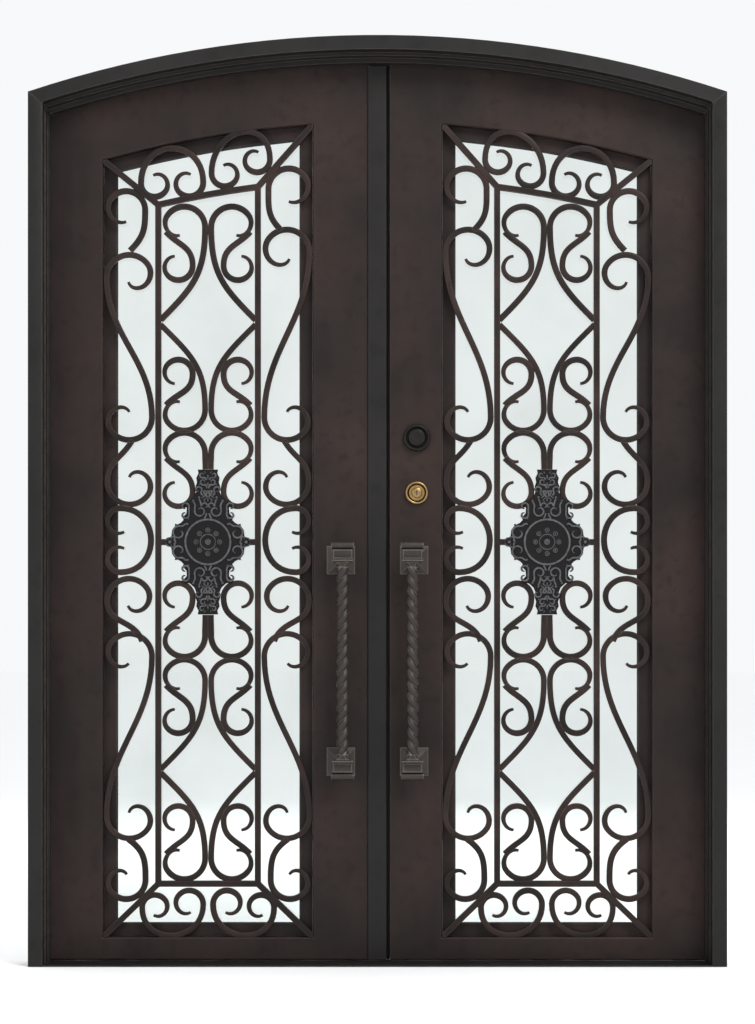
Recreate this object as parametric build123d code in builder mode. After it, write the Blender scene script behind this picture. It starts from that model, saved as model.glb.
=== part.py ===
"""Wrought iron entry door: a pair of arched, glazed iron leaves in their welded frame.

Millimetres. +X is right seen from outside, +Y goes indoors, +Z is up.
The origin is on the floor, in the middle of the threshold, at half the frame's depth.
"""

import os
from collections import namedtuple
from math import ceil, sqrt

from build123d import *

os.makedirs("parts", exist_ok=True)

# Driving dimensions of the frame
width = 1829.0
height = 2438.0
arch_radius = 2899.0
frame_depth = 152.0
corner_radius = 9.0
mitre_slope = 0.85
threshold_height = 4.0

# The leaves
leaf_depth = 50.0
leaf_gap = 5.0
leaf_bottom = 11.0
leaf_edge = 884.0
rebate = 25.5
seal_width = 10.0
seal_play = 0.5
opening_outer = 727.0
opening_inner = 171.7
opening_bottom = 68.0
opening_radius = 2688.5

# The strip on the left leaf that covers the meeting edge
astragal_left = -26.0
astragal_right = 24.5
astragal_proud = 8.0
strip_round = 5.0
meeting_gap = 8.0

# The grille
bar = 16.0
bar_offset = 132.0
scroll_depth = 12.0
scroll_setback = 2.0
inner_rail_bottom = 209.0
inner_rail_radius = 2538.0
medallion_height = 1115.0
medallion_length = 385.0
medallion_ring = 62.0
medallion_rim = 6.0
medallion_plate = 3.5
medallion_depth = 6.0
medallion_dish = 21.0
ring_sides = 20
curl_sides = 8
facet_turn = 48.0
stem_facets = 4
volute_hold = 150.0
volute_closing = 0.7
hook_closing = 1.6
tip_share = 0.5
taper_rate = 0.2

# The sash behind the grille, with its glass
sash_face = 33.0
sash_front = 54.0
sash_depth = 20.0
glass_depth = 8.0
clamp_heights = (330.0, 1130.0, 1930.0)
clamp_length = 58.0
clamp_width = 16.0
clamp_thickness = 7.0
clamp_offset = 4.0

# The pulls
pull_x = 95.0
pull_height = 800.0
pull_reach = 267.0
roll_reach = 303.0
rose_side = 79.0
grip_size = 26.0
rose_plate = 4.0
rose_rise = 9.0
post_side = 22.0
grip_stand = 62.0
twist_reach = 246.5
twist_lead = 116.0
twist_facet = 45.0
neck_length = 18.0
tab_width = 55.0
tab_thickness = 12.0
roll_width = 66.0
roll_radius = 12.0

# The locks on the right leaf
lock_x = 104.0
cylinder_height = 1245.0
cylinder_radius = 30.5
cylinder_proud = 12.0
dish_depth = 3.0
plug_radius = 12.0
deadbolt_height = 1391.0
deadbolt_radius = 36.0
deadbolt_proud = 14.0
lock_bevel = 3.0
rim_width = 7.0
barrel_face_radius = 22.0
groove_depth = 7.0
turn_rose = 6.0
turn_proud = 18.0
turn_width = 12.0
turn_height = 46.0
lock_sides = 20

# The hinges
hinge_x = 886.5
hinge_stand = 13.5
barrel_radius = 13.0
pin_radius = 6.0
pin_play = 0.05
knuckle = 40.0
knuckle_gap = 1.0
wing_reach = 36.0
wing_thickness = 5.0
wing_inset = 3.0
hinge_heights = (300.0, 1150.0, 2000.0)
barrel_sides = 12

# Worked out from the above
half = width / 2
arch_centre = height - arch_radius
front = -frame_depth / 2
back = frame_depth / 2
leaf_front = back - leaf_depth
stop_back = leaf_front - leaf_gap
leaf_radius = arch_radius - rebate - leaf_gap
leaf_centre = (opening_outer + opening_inner) / 2
daylight = (
    sash_face - opening_outer,
    -opening_inner - sash_face,
    opening_bottom + sash_face,
    opening_radius - sash_face,
)
hinge_y = back + hinge_stand
meeting_edge = {-1: -astragal_left, 1: astragal_right + meeting_gap}

# Each step of the frame's profile: how far back it goes, its face at the jambs and at the head
Step = namedtuple("Step", "back jamb head")
steps = (
    Step(-36.0, 38.0, 37.0),
    Step(-6.0, 42.5, 46.0),
    Step(stop_back, 48.5, 59.0),
    Step(back, rebate, rebate),
)


def arc_height(radius, x):
    """Height above the floor of a curve that is concentric with the arch."""
    return arch_centre + sqrt(radius**2 - x**2)


def from_front(y):
    """A plane seen from outside. Extruding from it comes forwards, towards the street."""
    return Plane.XZ.offset(-y)


def arched(x_low, x_high, z_low, radius, round_corners=0.0):
    """A face with three straight sides and a top that follows the arch."""
    x_mid = (x_low + x_high) / 2
    z_left, z_mid, z_right = (arc_height(radius, x) for x in (x_low, x_mid, x_high))
    with BuildSketch() as outline:
        with BuildLine():
            Polyline((x_low, z_left), (x_low, z_low), (x_high, z_low), (x_high, z_right))
            ThreePointArc((x_high, z_right), (x_mid, z_mid), (x_low, z_left))
        make_face()
        if round_corners:
            top = outline.vertices().sort_by(Axis.Y)[-2:]
            fillet(top, round_corners)
    return outline.sketch


def polygon(*points):
    """A face with straight sides."""
    with BuildSketch() as outline:
        with BuildLine():
            Polyline(*points, close=True)
        make_face()
    return outline.sketch


def save(piece, name):
    piece.part.label = name
    export_step(piece.part, f"parts/{name}.step")


def save_for_side(piece, name, side):
    """Every piece of a leaf is drawn on the left leaf, and mirrored for the right one."""
    if side > 0:
        with BuildPart() as mirrored:
            mirror(piece.part, about=Plane.YZ)
        piece = mirrored
    save(piece, f"{name}_{'left' if side < 0 else 'right'}")


# The frame: four steps of one profile, welded at a mitre in each top corner
with BuildPart() as whole_frame:
    y_front = front
    for step in steps:
        with BuildSketch(from_front(step.back)):
            add(arched(-half, half, 0, arch_radius))
            inner = half - step.jamb
            clear = arched(-inner, inner, -1, arch_radius - step.head, corner_radius)
            add(clear, mode=Mode.SUBTRACT)
        extrude(amount=step.back - y_front)
        y_front = step.back

spring = arc_height(arch_radius, half)
mitre_foot = spring - mitre_slope * half
for side, name in ((-1, "jamb_left"), (1, "jamb_right")):
    with BuildPart() as jamb:
        add(whole_frame.part)
        with BuildSketch(from_front(back)):
            add(polygon((side * half, spring), (side * half, -1), (0, -1), (0, mitre_foot)))
        extrude(amount=frame_depth, mode=Mode.INTERSECT)
    save(jamb, name)

with BuildPart() as header:
    add(whole_frame.part)
    with BuildSketch(from_front(back)):
        above = (-half, height), (-half, spring), (0, mitre_foot), (half, spring), (half, height)
        add(polygon(*above))
    extrude(amount=frame_depth, mode=Mode.INTERSECT)
save(header, "header_arch")

with BuildPart() as threshold:
    y_front = front
    with BuildSketch():
        for step in steps:
            with Locations((0, (y_front + step.back) / 2)):
                Rectangle(2 * (half - step.jamb), step.back - y_front)
            y_front = step.back
    extrude(amount=threshold_height)
    long_edges = threshold.edges().group_by(Axis.Z)[-1].filter_by(Axis.X).sort_by(Axis.Y)
    chamfer([long_edges[0], long_edges[-1]], threshold_height / 2)
save(threshold, "threshold")


# The rubber that the leaves close on, round the back of the stop
with BuildPart() as seal:
    with BuildSketch(from_front(leaf_front - seal_play)):
        inner = half - steps[2].jamb
        add(arched(-inner - seal_width, inner + seal_width, threshold_height, arch_radius - 50))
        add(arched(-inner, inner, -1, arch_radius - steps[2].head), mode=Mode.SUBTRACT)
    extrude(amount=leaf_gap - seal_play)
save(seal, "frame_seal")

# The leaves: welded box members, drawn on the left and mirrored for the right
for side in (-1, 1):
    with BuildPart() as hinge_stile:
        with BuildSketch(from_front(back)):
            add(arched(-leaf_edge, -opening_outer, leaf_bottom, leaf_radius))
        extrude(amount=leaf_depth)
    save_for_side(hinge_stile, "hinge_stile", side)

    with BuildPart() as meeting_stile:
        with BuildSketch(from_front(back)):
            add(arched(-opening_inner, -meeting_edge[side], leaf_bottom, leaf_radius))
        extrude(amount=leaf_depth)
    save_for_side(meeting_stile, "meeting_stile", side)

    with BuildPart() as top_rail:
        with BuildSketch(from_front(back)):
            add(arched(-opening_outer, -opening_inner, leaf_bottom, leaf_radius))
            add(arched(-opening_outer, -opening_inner, 0, opening_radius), mode=Mode.SUBTRACT)
        extrude(amount=leaf_depth)
    save_for_side(top_rail, "top_rail", side)

    with BuildPart() as bottom_rail:
        with BuildSketch(from_front(back)):
            with Locations((-leaf_centre, (leaf_bottom + opening_bottom) / 2)):
                Rectangle(opening_outer - opening_inner, opening_bottom - leaf_bottom)
        extrude(amount=leaf_depth)
    save_for_side(bottom_rail, "bottom_rail", side)

    with BuildPart() as sash:
        with BuildSketch(from_front(sash_front + sash_depth)):
            add(arched(-opening_outer, -opening_inner, opening_bottom, opening_radius))
            add(arched(*daylight), mode=Mode.SUBTRACT)
        extrude(amount=sash_depth)
    save_for_side(sash, "sash_frame", side)

    with BuildPart() as glass:
        with BuildSketch(from_front(sash_front + (sash_depth + glass_depth) / 2)):
            add(arched(*daylight))
        extrude(amount=glass_depth)
    save_for_side(glass, "glass", side)

# The strip that covers the gap between the leaves: a full core, and a face short of the stop
with BuildPart() as astragal:
    with BuildSketch(from_front(back)):
        add(arched(astragal_left, astragal_right, leaf_bottom, leaf_radius))
    extrude(amount=leaf_depth)
    strip_top = arc_height(arch_radius - steps[2].head, astragal_left) - leaf_gap
    with BuildSketch(from_front(leaf_front)):
        with Locations(((astragal_left + astragal_right) / 2, (leaf_bottom + strip_top) / 2)):
            Rectangle(astragal_right - astragal_left, strip_top - leaf_bottom)
    extrude(amount=astragal_proud)
    face_edges = astragal.edges().group_by(Axis.Y)[0].filter_by(Axis.Z)
    fillet(face_edges, strip_round)
save(astragal, "astragal")


# The grille. A scroll is one bar with a volute, or a plain end, at each of its ends
Volute = namedtuple("Volute", "x z radius start sweep closing", defaults=(volute_closing,))
End = namedtuple("End", "x z heading")
Scroll = namedtuple("Scroll", "first last bulge", defaults=(0.45,))


def volute_line(volute):
    """Centre line of a volute from its stem to its tip: round at first, then closing in."""
    facets = ceil(abs(volute.sweep) / facet_turn)
    for i in range(facets + 1):
        turned = volute.sweep * i / facets
        closed = max(0, abs(turned) - volute_hold) / 180
        reach = volute.radius * (1 - volute.closing * closed**1.5)
        yield Vector(volute.x, volute.z) + Vector(reach, 0).rotate(Axis.Z, volute.start + turned)


def end_line(end):
    """Centre line of one end of a scroll, and the heading of the bar that runs into it."""
    if isinstance(end, End):
        return [Vector(end.x, end.z)], Vector(1, 0).rotate(Axis.Z, end.heading)
    quarter = 90 if end.sweep > 0 else -90
    return list(volute_line(end)), Vector(1, 0).rotate(Axis.Z, end.start + quarter)


def stem_line(start, leaving, finish, arriving):
    """The smooth run between two ends, without its first and last points."""
    near = start + leaving
    far = finish - arriving
    for i in range(1, stem_facets):
        t = i / stem_facets
        weights = (1 - t) ** 3, 3 * t * (1 - t) ** 2, 3 * t**2 * (1 - t), t**3
        yield sum((p * w for p, w in zip((start, near, far, finish), weights)), Vector())


def ribbon(scroll):
    """The outline of a scroll: its centre line at the bar's width, tapered at the volutes."""
    head, head_heading = end_line(scroll.first)
    tail, tail_heading = end_line(scroll.last)
    handle = (tail[0] - head[0]).length * scroll.bulge
    stem = stem_line(head[0], head_heading * -handle, tail[0], tail_heading * handle)
    line = head[::-1] + list(stem) + tail
    one_edge, other_edge = [], []
    for i, point in enumerate(line):
        run = line[min(i + 1, len(line) - 1)] - line[max(i - 1, 0)]
        taper = 1.0
        if isinstance(scroll.first, Volute):
            taper = min(taper, tip_share + i * taper_rate)
        if isinstance(scroll.last, Volute):
            taper = min(taper, tip_share + (len(line) - 1 - i) * taper_rate)
        across = run.normalized().rotate(Axis.Z, 90) * (bar / 2 * taper)
        one_edge.append(point + across)
        other_edge.append(point - across)
    outline = one_edge + other_edge[::-1]
    return polygon(*((p.X - leaf_centre, p.Y) for p in outline))


def flipped(scrolls):
    """The same scrolls on the other side of the leaf's middle."""
    for scroll in scrolls:
        ends = []
        for end in scroll[:2]:
            if isinstance(end, End):
                ends.append(End(-end.x, end.z, 180 - end.heading))
            else:
                turned = Volute(-end.x, end.z, end.radius, 180 - end.start, -end.sweep, end.closing)
                ends.append(turned)
        yield Scroll(*ends, scroll.bulge)


def strip(a, b):
    """A straight bar from one point to another, seen from the front."""
    a, b = Vector(*a), Vector(*b)
    across = (b - a).normalized().rotate(Axis.Z, 90) * (bar / 2)
    return polygon(*((p.X, p.Y) for p in (a + across, b + across, b - across, a - across)))


# Scrolls of the side borders, down from the top, measured from the middle of the leaf
lower_border = [
    Scroll(End(-201, 1385, 60), Volute(-208, 1274, 59, 180, 275, 1.35)),
    Scroll(Volute(-233, 1171, 34, 90, 200), Volute(-233, 1069, 34, 270, -200), 0.64),
    Scroll(Volute(-210, 960, 58, 180, -280, 1.25), End(-175, 852, -70)),
    Scroll(Volute(-209, 812, 60, 0, 265, 1.35), Volute(-209, 389, 60, 180, 275, 1.5), 0.4),
    Scroll(End(-212, 327, 145), Volute(-217, 219, 51, 0, -275, 1.25)),
]
hinge_side = [
    Scroll(Volute(-217, 1996, 50, 0, 270), End(-207, 1888, 225)),
    Scroll(Volute(-209, 1817, 60, 180, -280, 1.3), Volute(-209, 1446, 60, 0, -270, 1.4), 0.4),
    *lower_border,
]
lock_side = [
    Scroll(Volute(214, 2052, 54, 180, -270), End(194, 1942, -45)),
    Scroll(Volute(209, 1884, 60, 0, 290, 1.0), Volute(209, 1446, 60, 180, 270, 1.4), 0.4),
    *flipped(lower_border),
]

# Scrolls of the middle panel: large ones that spring from its bars, small ones from their tips
large_x, large_radius = -63.0, 55.0
small_x, small_radius = -79.0, 38.0
Spring = namedtuple("Spring", "large_z small_z root heading")
springs = (
    Spring(1950, 1848, (-126, 1704), 225),
    Spring(1466, 1561, (-126, 1692), 135),
    Spring(1350, 1248, (-7, 1308), 270),
    Spring(866, 968, (-7, 922), 90),
    Spring(748, 646, (-126, 512), 225),
    Spring(276, 377, (-126, 504), 135),
)
centre = []
for spring in springs:
    up = 1 if spring.large_z > spring.small_z else -1
    large = Volute(large_x, spring.large_z, large_radius, 0, up * 240, hook_closing)
    small = Volute(small_x, spring.small_z, small_radius, 0, -up * 250)
    from_large = End(-112, spring.large_z - up * 12, up * 133)
    centre += [Scroll(large, End(*spring.root, spring.heading)), Scroll(small, from_large)]
centre += list(flipped(centre))

# Scrolls of the top border, under the arch, and of the bottom border
ends = [
    Scroll(Volute(-142, 2067, 36, 180, 280), Volute(-50, 2069, 37, 0, -280), 0.74),
    Scroll(Volute(44, 2094, 35, 180, 280), Volute(130, 2130, 34, 0, -280), 0.75),
]
bottom_ends = [
    Scroll(Volute(-141, 145, 34, 180, -280), Volute(-50, 154, 37, 0, 280), 0.64),
]
ends += bottom_ends + list(flipped(bottom_ends))

with BuildSketch() as opening:
    add(arched(-opening_outer, -opening_inner, opening_bottom, opening_radius))

with BuildSketch() as bars:
    x_low, x_high = -leaf_centre - bar_offset, -leaf_centre + bar_offset
    z_low = inner_rail_bottom
    add(arched(x_low - bar / 2, x_high + bar / 2, z_low - bar / 2, inner_rail_radius + bar / 2))
    add(
        arched(x_low + bar / 2, x_high - bar / 2, z_low + bar / 2, inner_rail_radius - bar / 2),
        mode=Mode.SUBTRACT,
    )
    for x_inner, x_outer in ((x_low, -opening_outer), (x_high, -opening_inner)):
        top_corner = (x_outer, arc_height(opening_radius, x_outer))
        add(strip((x_inner, arc_height(inner_rail_radius, x_inner)), top_corner))
        add(strip((x_inner, z_low), (x_outer, opening_bottom)))
    add(strip((x_low, medallion_height), (x_high, medallion_height)))
    add(opening.sketch, mode=Mode.INTERSECT)

# The medallion: a tapering plate with a ring, and curls along its edge, the same in each quarter
Curl = namedtuple("Curl", "x z radius")
plate_corners = ((102, 0), (84, 40), (60, 78), (38, 112), (20, 150), (14, 188))
curls = (
    Curl(96, 0, 16),
    Curl(73, 25, 24),
    Curl(55, 82, 19),
    Curl(30, 84, 24),
    Curl(20, 125, 14),
    Curl(18, 158, 15),
)
with BuildSketch() as quarter:
    add(polygon((0, 0), *plate_corners, (0, medallion_length / 2)))
    for curl in curls:
        with Locations((curl.x, curl.z)):
            RegularPolygon(curl.radius, curl_sides)
    with Locations((0, 0)):
        RegularPolygon(medallion_ring, ring_sides)
with BuildSketch() as medallion_outline:
    with Locations((-leaf_centre, medallion_height)):
        for half_outline in (quarter.sketch, quarter.sketch.mirror(Plane.YZ)):
            add(half_outline)
            add(half_outline.mirror(Plane.XZ))

groups = {
    "hinge_side_scrolls": hinge_side,
    "lock_side_scrolls": lock_side,
    "centre_scrolls": centre,
    "end_scrolls": ends,
}
for side in (-1, 1):
    with BuildPart() as grille_bars:
        with BuildSketch(from_front(leaf_front + bar)):
            add(bars.sketch)
        extrude(amount=bar)
    save_for_side(grille_bars, "grille_bars", side)

    for name, scrolls in groups.items():
        with BuildPart() as scroll_group:
            with BuildSketch(from_front(leaf_front + scroll_setback + scroll_depth)):
                for scroll in scrolls:
                    add(ribbon(scroll))
                add(opening.sketch, mode=Mode.INTERSECT)
                add(bars.sketch, mode=Mode.SUBTRACT)
            extrude(amount=scroll_depth)
        save_for_side(scroll_group, name, side)

    with BuildPart() as medallion:
        with BuildSketch(from_front(leaf_front)):
            add(medallion_outline.sketch)
        extrude(amount=medallion_plate)
        with BuildSketch(from_front(leaf_front)):
            with Locations((-leaf_centre, medallion_height)):
                RegularPolygon(medallion_ring, ring_sides)
                RegularPolygon(medallion_ring - medallion_rim, ring_sides, mode=Mode.SUBTRACT)
                RegularPolygon(medallion_dish, curl_sides)
        extrude(amount=medallion_depth)
    save_for_side(medallion, "medallion", side)


# The hinges: two fixed knuckles and their pin on the jamb, and one between them on the leaf
def knuckle_and_wing(x_wing, z_low, height_up):
    """A barrel on the hinge line with a plate that lies flat on the metal behind it."""
    with BuildPart() as piece:
        with BuildSketch(Plane.XY.offset(z_low)):
            with Locations((-hinge_x, hinge_y)):
                RegularPolygon(barrel_radius, barrel_sides)
            with Locations(((x_wing - hinge_x) / 2, back + wing_thickness / 2)):
                Rectangle(abs(x_wing + hinge_x), wing_thickness)
        extrude(amount=height_up)
    return piece.part


for side in (-1, 1):
    with BuildPart() as fixed_barrels:
        for hinge_z in hinge_heights:
            with BuildSketch(Plane.XY.offset(hinge_z - 1.5 * knuckle)):
                with Locations((-hinge_x, hinge_y)):
                    Circle(pin_radius)
            extrude(amount=3 * knuckle)
            for z_low in (hinge_z - 1.5 * knuckle, hinge_z + 0.5 * knuckle):
                add(knuckle_and_wing(-half + wing_inset, z_low, knuckle))
    save_for_side(fixed_barrels, "hinge_barrels", side)

    with BuildPart() as leaf_knuckles:
        for hinge_z in hinge_heights:
            z_low = hinge_z - knuckle / 2 + knuckle_gap
            add(knuckle_and_wing(wing_reach - hinge_x, z_low, knuckle - 2 * knuckle_gap))
            with BuildSketch(Plane.XY.offset(z_low)):
                with Locations((-hinge_x, hinge_y)):
                    Circle(pin_radius + pin_play)
            extrude(amount=knuckle, mode=Mode.SUBTRACT)
    save_for_side(leaf_knuckles, "hinge_knuckles", side)

# The pulls: a twisted bar with flattened, rolled ends, on two pyramid roses, on both faces
leaf_middle = Plane.XZ.offset(-(leaf_front + back) / 2)
grip_y = leaf_front - grip_stand
rose_top = leaf_front - rose_plate - rose_rise
rose_foot = rose_side - 2 * rose_plate
twist_turn = 360 * 2 * twist_reach / twist_lead
square_corners = ((-1, -1), (1, -1), (1, 1), (-1, 1))


def flat(*corners):
    """A flat facet between its corners."""
    return Face(Wire.make_polygon(corners))


def tube_of_rings(rings):
    """A solid with flat facets between rings of four corners each."""
    facets = [flat(*rings[0]), flat(*rings[-1])]
    for low, high in zip(rings, rings[1:]):
        for k in range(4):
            facets.append(flat(low[k - 1], low[k], high[k]))
            facets.append(flat(low[k - 1], high[k], high[k - 1]))
    return Solid(Shell(facets))


def pyramid(x, z):
    """The shallow pyramid of a rose, cut off where the post comes out of it."""
    rings = []
    for y, side_length in ((leaf_front - rose_plate, rose_foot), (rose_top, post_side)):
        reach = side_length / 2
        rings.append([Vector(x + u * reach, y, z + w * reach) for u, w in square_corners])
    return tube_of_rings(rings)


def twisted_bar(x, y, z_low, z_high):
    """An upright square bar that turns as it rises, built of flat facets."""
    steps = round(twist_turn / twist_facet)
    rings = []
    for i in range(steps + 1):
        axis_point = Vector(x, y, z_low + (z_high - z_low) * i / steps)
        corner = Vector(grip_size / sqrt(2), 0).rotate(Axis.Z, 45 + twist_turn * i / steps)
        rings.append([axis_point + corner.rotate(Axis.Z, 90 * k) for k in range(4)])
    return tube_of_rings(rings)


def flat_end(end, roll_z):
    """The neck and tab that one end of the twisted bar is beaten out to."""
    neck_z = pull_height + end * twist_reach
    tab_z = neck_z + end * neck_length
    square, wide, thin = grip_size / 2, tab_width / 2, tab_thickness / 2
    with BuildPart() as piece:
        with BuildSketch(from_front(grip_y + square)):
            left = (-pull_x - square, neck_z), (-pull_x - wide, tab_z), (-pull_x - wide, roll_z)
            right = (-pull_x + wide, roll_z), (-pull_x + wide, tab_z), (-pull_x + square, neck_z)
            add(polygon(*left, *right))
        extrude(amount=grip_size)
        with BuildSketch(Plane.YZ.offset(-pull_x - wide)):
            near = (grip_y - square, neck_z), (grip_y - thin, tab_z), (grip_y - thin, roll_z)
            far = (grip_y + thin, roll_z), (grip_y + thin, tab_z), (grip_y + square, neck_z)
            add(polygon(*near, *far))
        extrude(amount=tab_width, mode=Mode.INTERSECT)
    return piece.part


for side in (-1, 1):
    with BuildPart() as roses:
        for end in (-1, 1):
            rose_spot = (-pull_x, pull_height + end * pull_reach)
            with BuildSketch(from_front(leaf_front)):
                with Locations(rose_spot):
                    Rectangle(rose_side, rose_side)
            extrude(amount=rose_plate)
            add(pyramid(*rose_spot))
        mirror(about=leaf_middle)
    save_for_side(roses, "pull_roses", side)

    with BuildPart() as grip:
        add(twisted_bar(-pull_x, grip_y, pull_height - twist_reach, pull_height + twist_reach))
        for end in (-1, 1):
            roll_z = pull_height + end * roll_reach
            add(flat_end(end, roll_z))
            with BuildSketch(Plane.YZ.offset(-pull_x - roll_width / 2)):
                with Locations((grip_y + roll_radius - tab_thickness / 2, roll_z)):
                    RegularPolygon(roll_radius, barrel_sides)
            extrude(amount=roll_width)
            with BuildSketch(from_front(rose_top)):
                with Locations((-pull_x, pull_height + end * pull_reach)):
                    Rectangle(post_side, post_side)
            extrude(amount=rose_top - grip_y)
    save_for_side(grip, "pull_bar", side)

    with BuildPart() as inside_grip:
        mirror(grip.part, about=leaf_middle)
    save_for_side(inside_grip, "pull_bar_inside", side)

# The turn clamps that hold each glazed sash in its opening, on the inner face
for side in (-1, 1):
    with BuildPart() as clamps:
        for clamp_z in clamp_heights:
            for stile_x, way in ((-opening_outer, 1), (-opening_inner, -1)):
                with BuildSketch(from_front(back)):
                    with Locations((stile_x + way * clamp_offset, clamp_z)):
                        Rectangle(clamp_length, clamp_width)
                extrude(amount=-clamp_thickness)
    save_for_side(clamps, "sash_clamps", side)

# The locks on the right leaf, with their thumb turns indoors
with BuildPart() as cylinder_lock:
    with BuildSketch(from_front(leaf_front)):
        with Locations((lock_x, cylinder_height)):
            RegularPolygon(cylinder_radius, lock_sides)
    extrude(amount=cylinder_proud)
    chamfer(cylinder_lock.edges().group_by(Axis.Y)[0], lock_bevel)
    with BuildSketch(from_front(leaf_front - cylinder_proud)):
        with Locations((lock_x, cylinder_height)):
            RegularPolygon(cylinder_radius - rim_width, lock_sides)
    extrude(amount=-dish_depth, mode=Mode.SUBTRACT)
    with BuildSketch(from_front(leaf_front - cylinder_proud + dish_depth)):
        with Locations((lock_x, cylinder_height)):
            RegularPolygon(plug_radius, lock_sides)
    extrude(amount=dish_depth)
save(cylinder_lock, "lock_cylinder")

with BuildPart() as deadbolt:
    with BuildSketch(from_front(leaf_front)):
        with Locations((lock_x, deadbolt_height)):
            RegularPolygon(deadbolt_radius, lock_sides)
    extrude(amount=deadbolt_proud)
    chamfer(deadbolt.edges().group_by(Axis.Y)[0], lock_bevel)
    with BuildSketch(from_front(leaf_front - deadbolt_proud)):
        with Locations((lock_x, deadbolt_height)):
            RegularPolygon(deadbolt_radius - rim_width, lock_sides)
            RegularPolygon(barrel_face_radius, lock_sides, mode=Mode.SUBTRACT)
    extrude(amount=-groove_depth, mode=Mode.SUBTRACT)
save(deadbolt, "deadbolt_rose")

with BuildPart() as thumb_turns:
    for lock_z in (cylinder_height, deadbolt_height):
        with BuildSketch(from_front(back)):
            with Locations((lock_x, lock_z)):
                RegularPolygon(cylinder_radius, lock_sides)
        extrude(amount=-turn_rose)
        with BuildSketch(from_front(back + turn_rose)):
            with Locations((lock_x, lock_z)):
                Rectangle(turn_width, turn_height)
        extrude(amount=-turn_proud)
save(thumb_turns, "thumb_turns")
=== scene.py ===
"""Looks of the wrought iron entry door: its finished pieces, their materials and a plain studio."""

from collections import namedtuple
from math import cos, pi, radians, sin, sqrt

import bmesh
import bpy
from bpy.props import FloatProperty, FloatVectorProperty, IntProperty, PointerProperty
from mathutils import Matrix, Vector


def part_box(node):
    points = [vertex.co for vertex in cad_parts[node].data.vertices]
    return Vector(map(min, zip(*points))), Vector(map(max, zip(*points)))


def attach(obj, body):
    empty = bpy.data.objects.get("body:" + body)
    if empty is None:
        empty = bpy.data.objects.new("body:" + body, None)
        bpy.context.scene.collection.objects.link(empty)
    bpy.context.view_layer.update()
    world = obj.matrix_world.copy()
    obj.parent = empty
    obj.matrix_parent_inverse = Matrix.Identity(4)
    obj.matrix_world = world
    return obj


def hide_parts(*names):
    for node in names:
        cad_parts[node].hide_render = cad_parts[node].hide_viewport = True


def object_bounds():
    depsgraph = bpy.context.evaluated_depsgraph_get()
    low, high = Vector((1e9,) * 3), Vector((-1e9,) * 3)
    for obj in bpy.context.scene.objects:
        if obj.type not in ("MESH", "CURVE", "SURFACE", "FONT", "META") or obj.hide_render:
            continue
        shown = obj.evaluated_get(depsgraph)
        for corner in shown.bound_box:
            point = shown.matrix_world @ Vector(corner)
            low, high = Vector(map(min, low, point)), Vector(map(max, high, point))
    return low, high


bl_info = {
    "name": "Wrought iron entry door",
    "version": (1, 0, 0),
    "blender": (4, 5, 0),
    "location": "3D View > Sidebar > Iron Door",
    "description": "Finishes a double wrought iron entry door on its engineering frame",
    "category": "Object",
}

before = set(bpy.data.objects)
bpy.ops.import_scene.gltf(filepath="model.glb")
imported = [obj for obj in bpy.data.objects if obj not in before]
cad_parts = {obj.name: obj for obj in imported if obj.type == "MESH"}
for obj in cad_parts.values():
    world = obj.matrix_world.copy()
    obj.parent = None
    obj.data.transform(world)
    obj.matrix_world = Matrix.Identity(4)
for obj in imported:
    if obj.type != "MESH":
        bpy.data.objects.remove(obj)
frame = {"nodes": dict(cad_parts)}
CAD_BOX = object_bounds()

MM = 0.001
STREET = (0, -1, 0)
HOUSE = (0, 1, 0)
ACROSS = (1, 0, 0)
UP = (0, 0, 1)
SIDES = (("left", -1), ("right", 1))
LEAF_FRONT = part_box("hinge_stile_left")[0][1]
LEAF_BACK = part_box("hinge_stile_left")[1][1]
LEAF_MIDDLE = (LEAF_FRONT + LEAF_BACK) / 2
FIT = 1.0 * MM
PANE_LOW, PANE_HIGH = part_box("glass_left")
LEAF_X = (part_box("grille_bars_right")[0][0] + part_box("grille_bars_right")[1][0]) / 2
SCROLL_LOW, SCROLL_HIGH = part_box("centre_scrolls_left")
MEDALLION_LOW, MEDALLION_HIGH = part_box("medallion_right")
PULL_LOW, PULL_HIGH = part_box("pull_bar_right")
ROSE_LOW, ROSE_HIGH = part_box("pull_roses_right")
CYLINDER_LOW, CYLINDER_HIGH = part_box("lock_cylinder")
DEADBOLT_LOW, DEADBOLT_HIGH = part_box("deadbolt_rose")
HINGE_LOW, HINGE_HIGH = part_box("hinge_barrels_right")
CLAMP_LOW, CLAMP_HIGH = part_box("sash_clamps_right")

# The arch that the head, the leaves and their openings share
ARCH_CENTRE = (2438 - 2899) * MM
LEAF_RADIUS = 2868.5 * MM
OPENING_RADIUS = 2688.5 * MM
SASH_FACE = 33 * MM
OPENING_EASE = 3.6 * MM
ARCH_STEPS = 24


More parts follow.
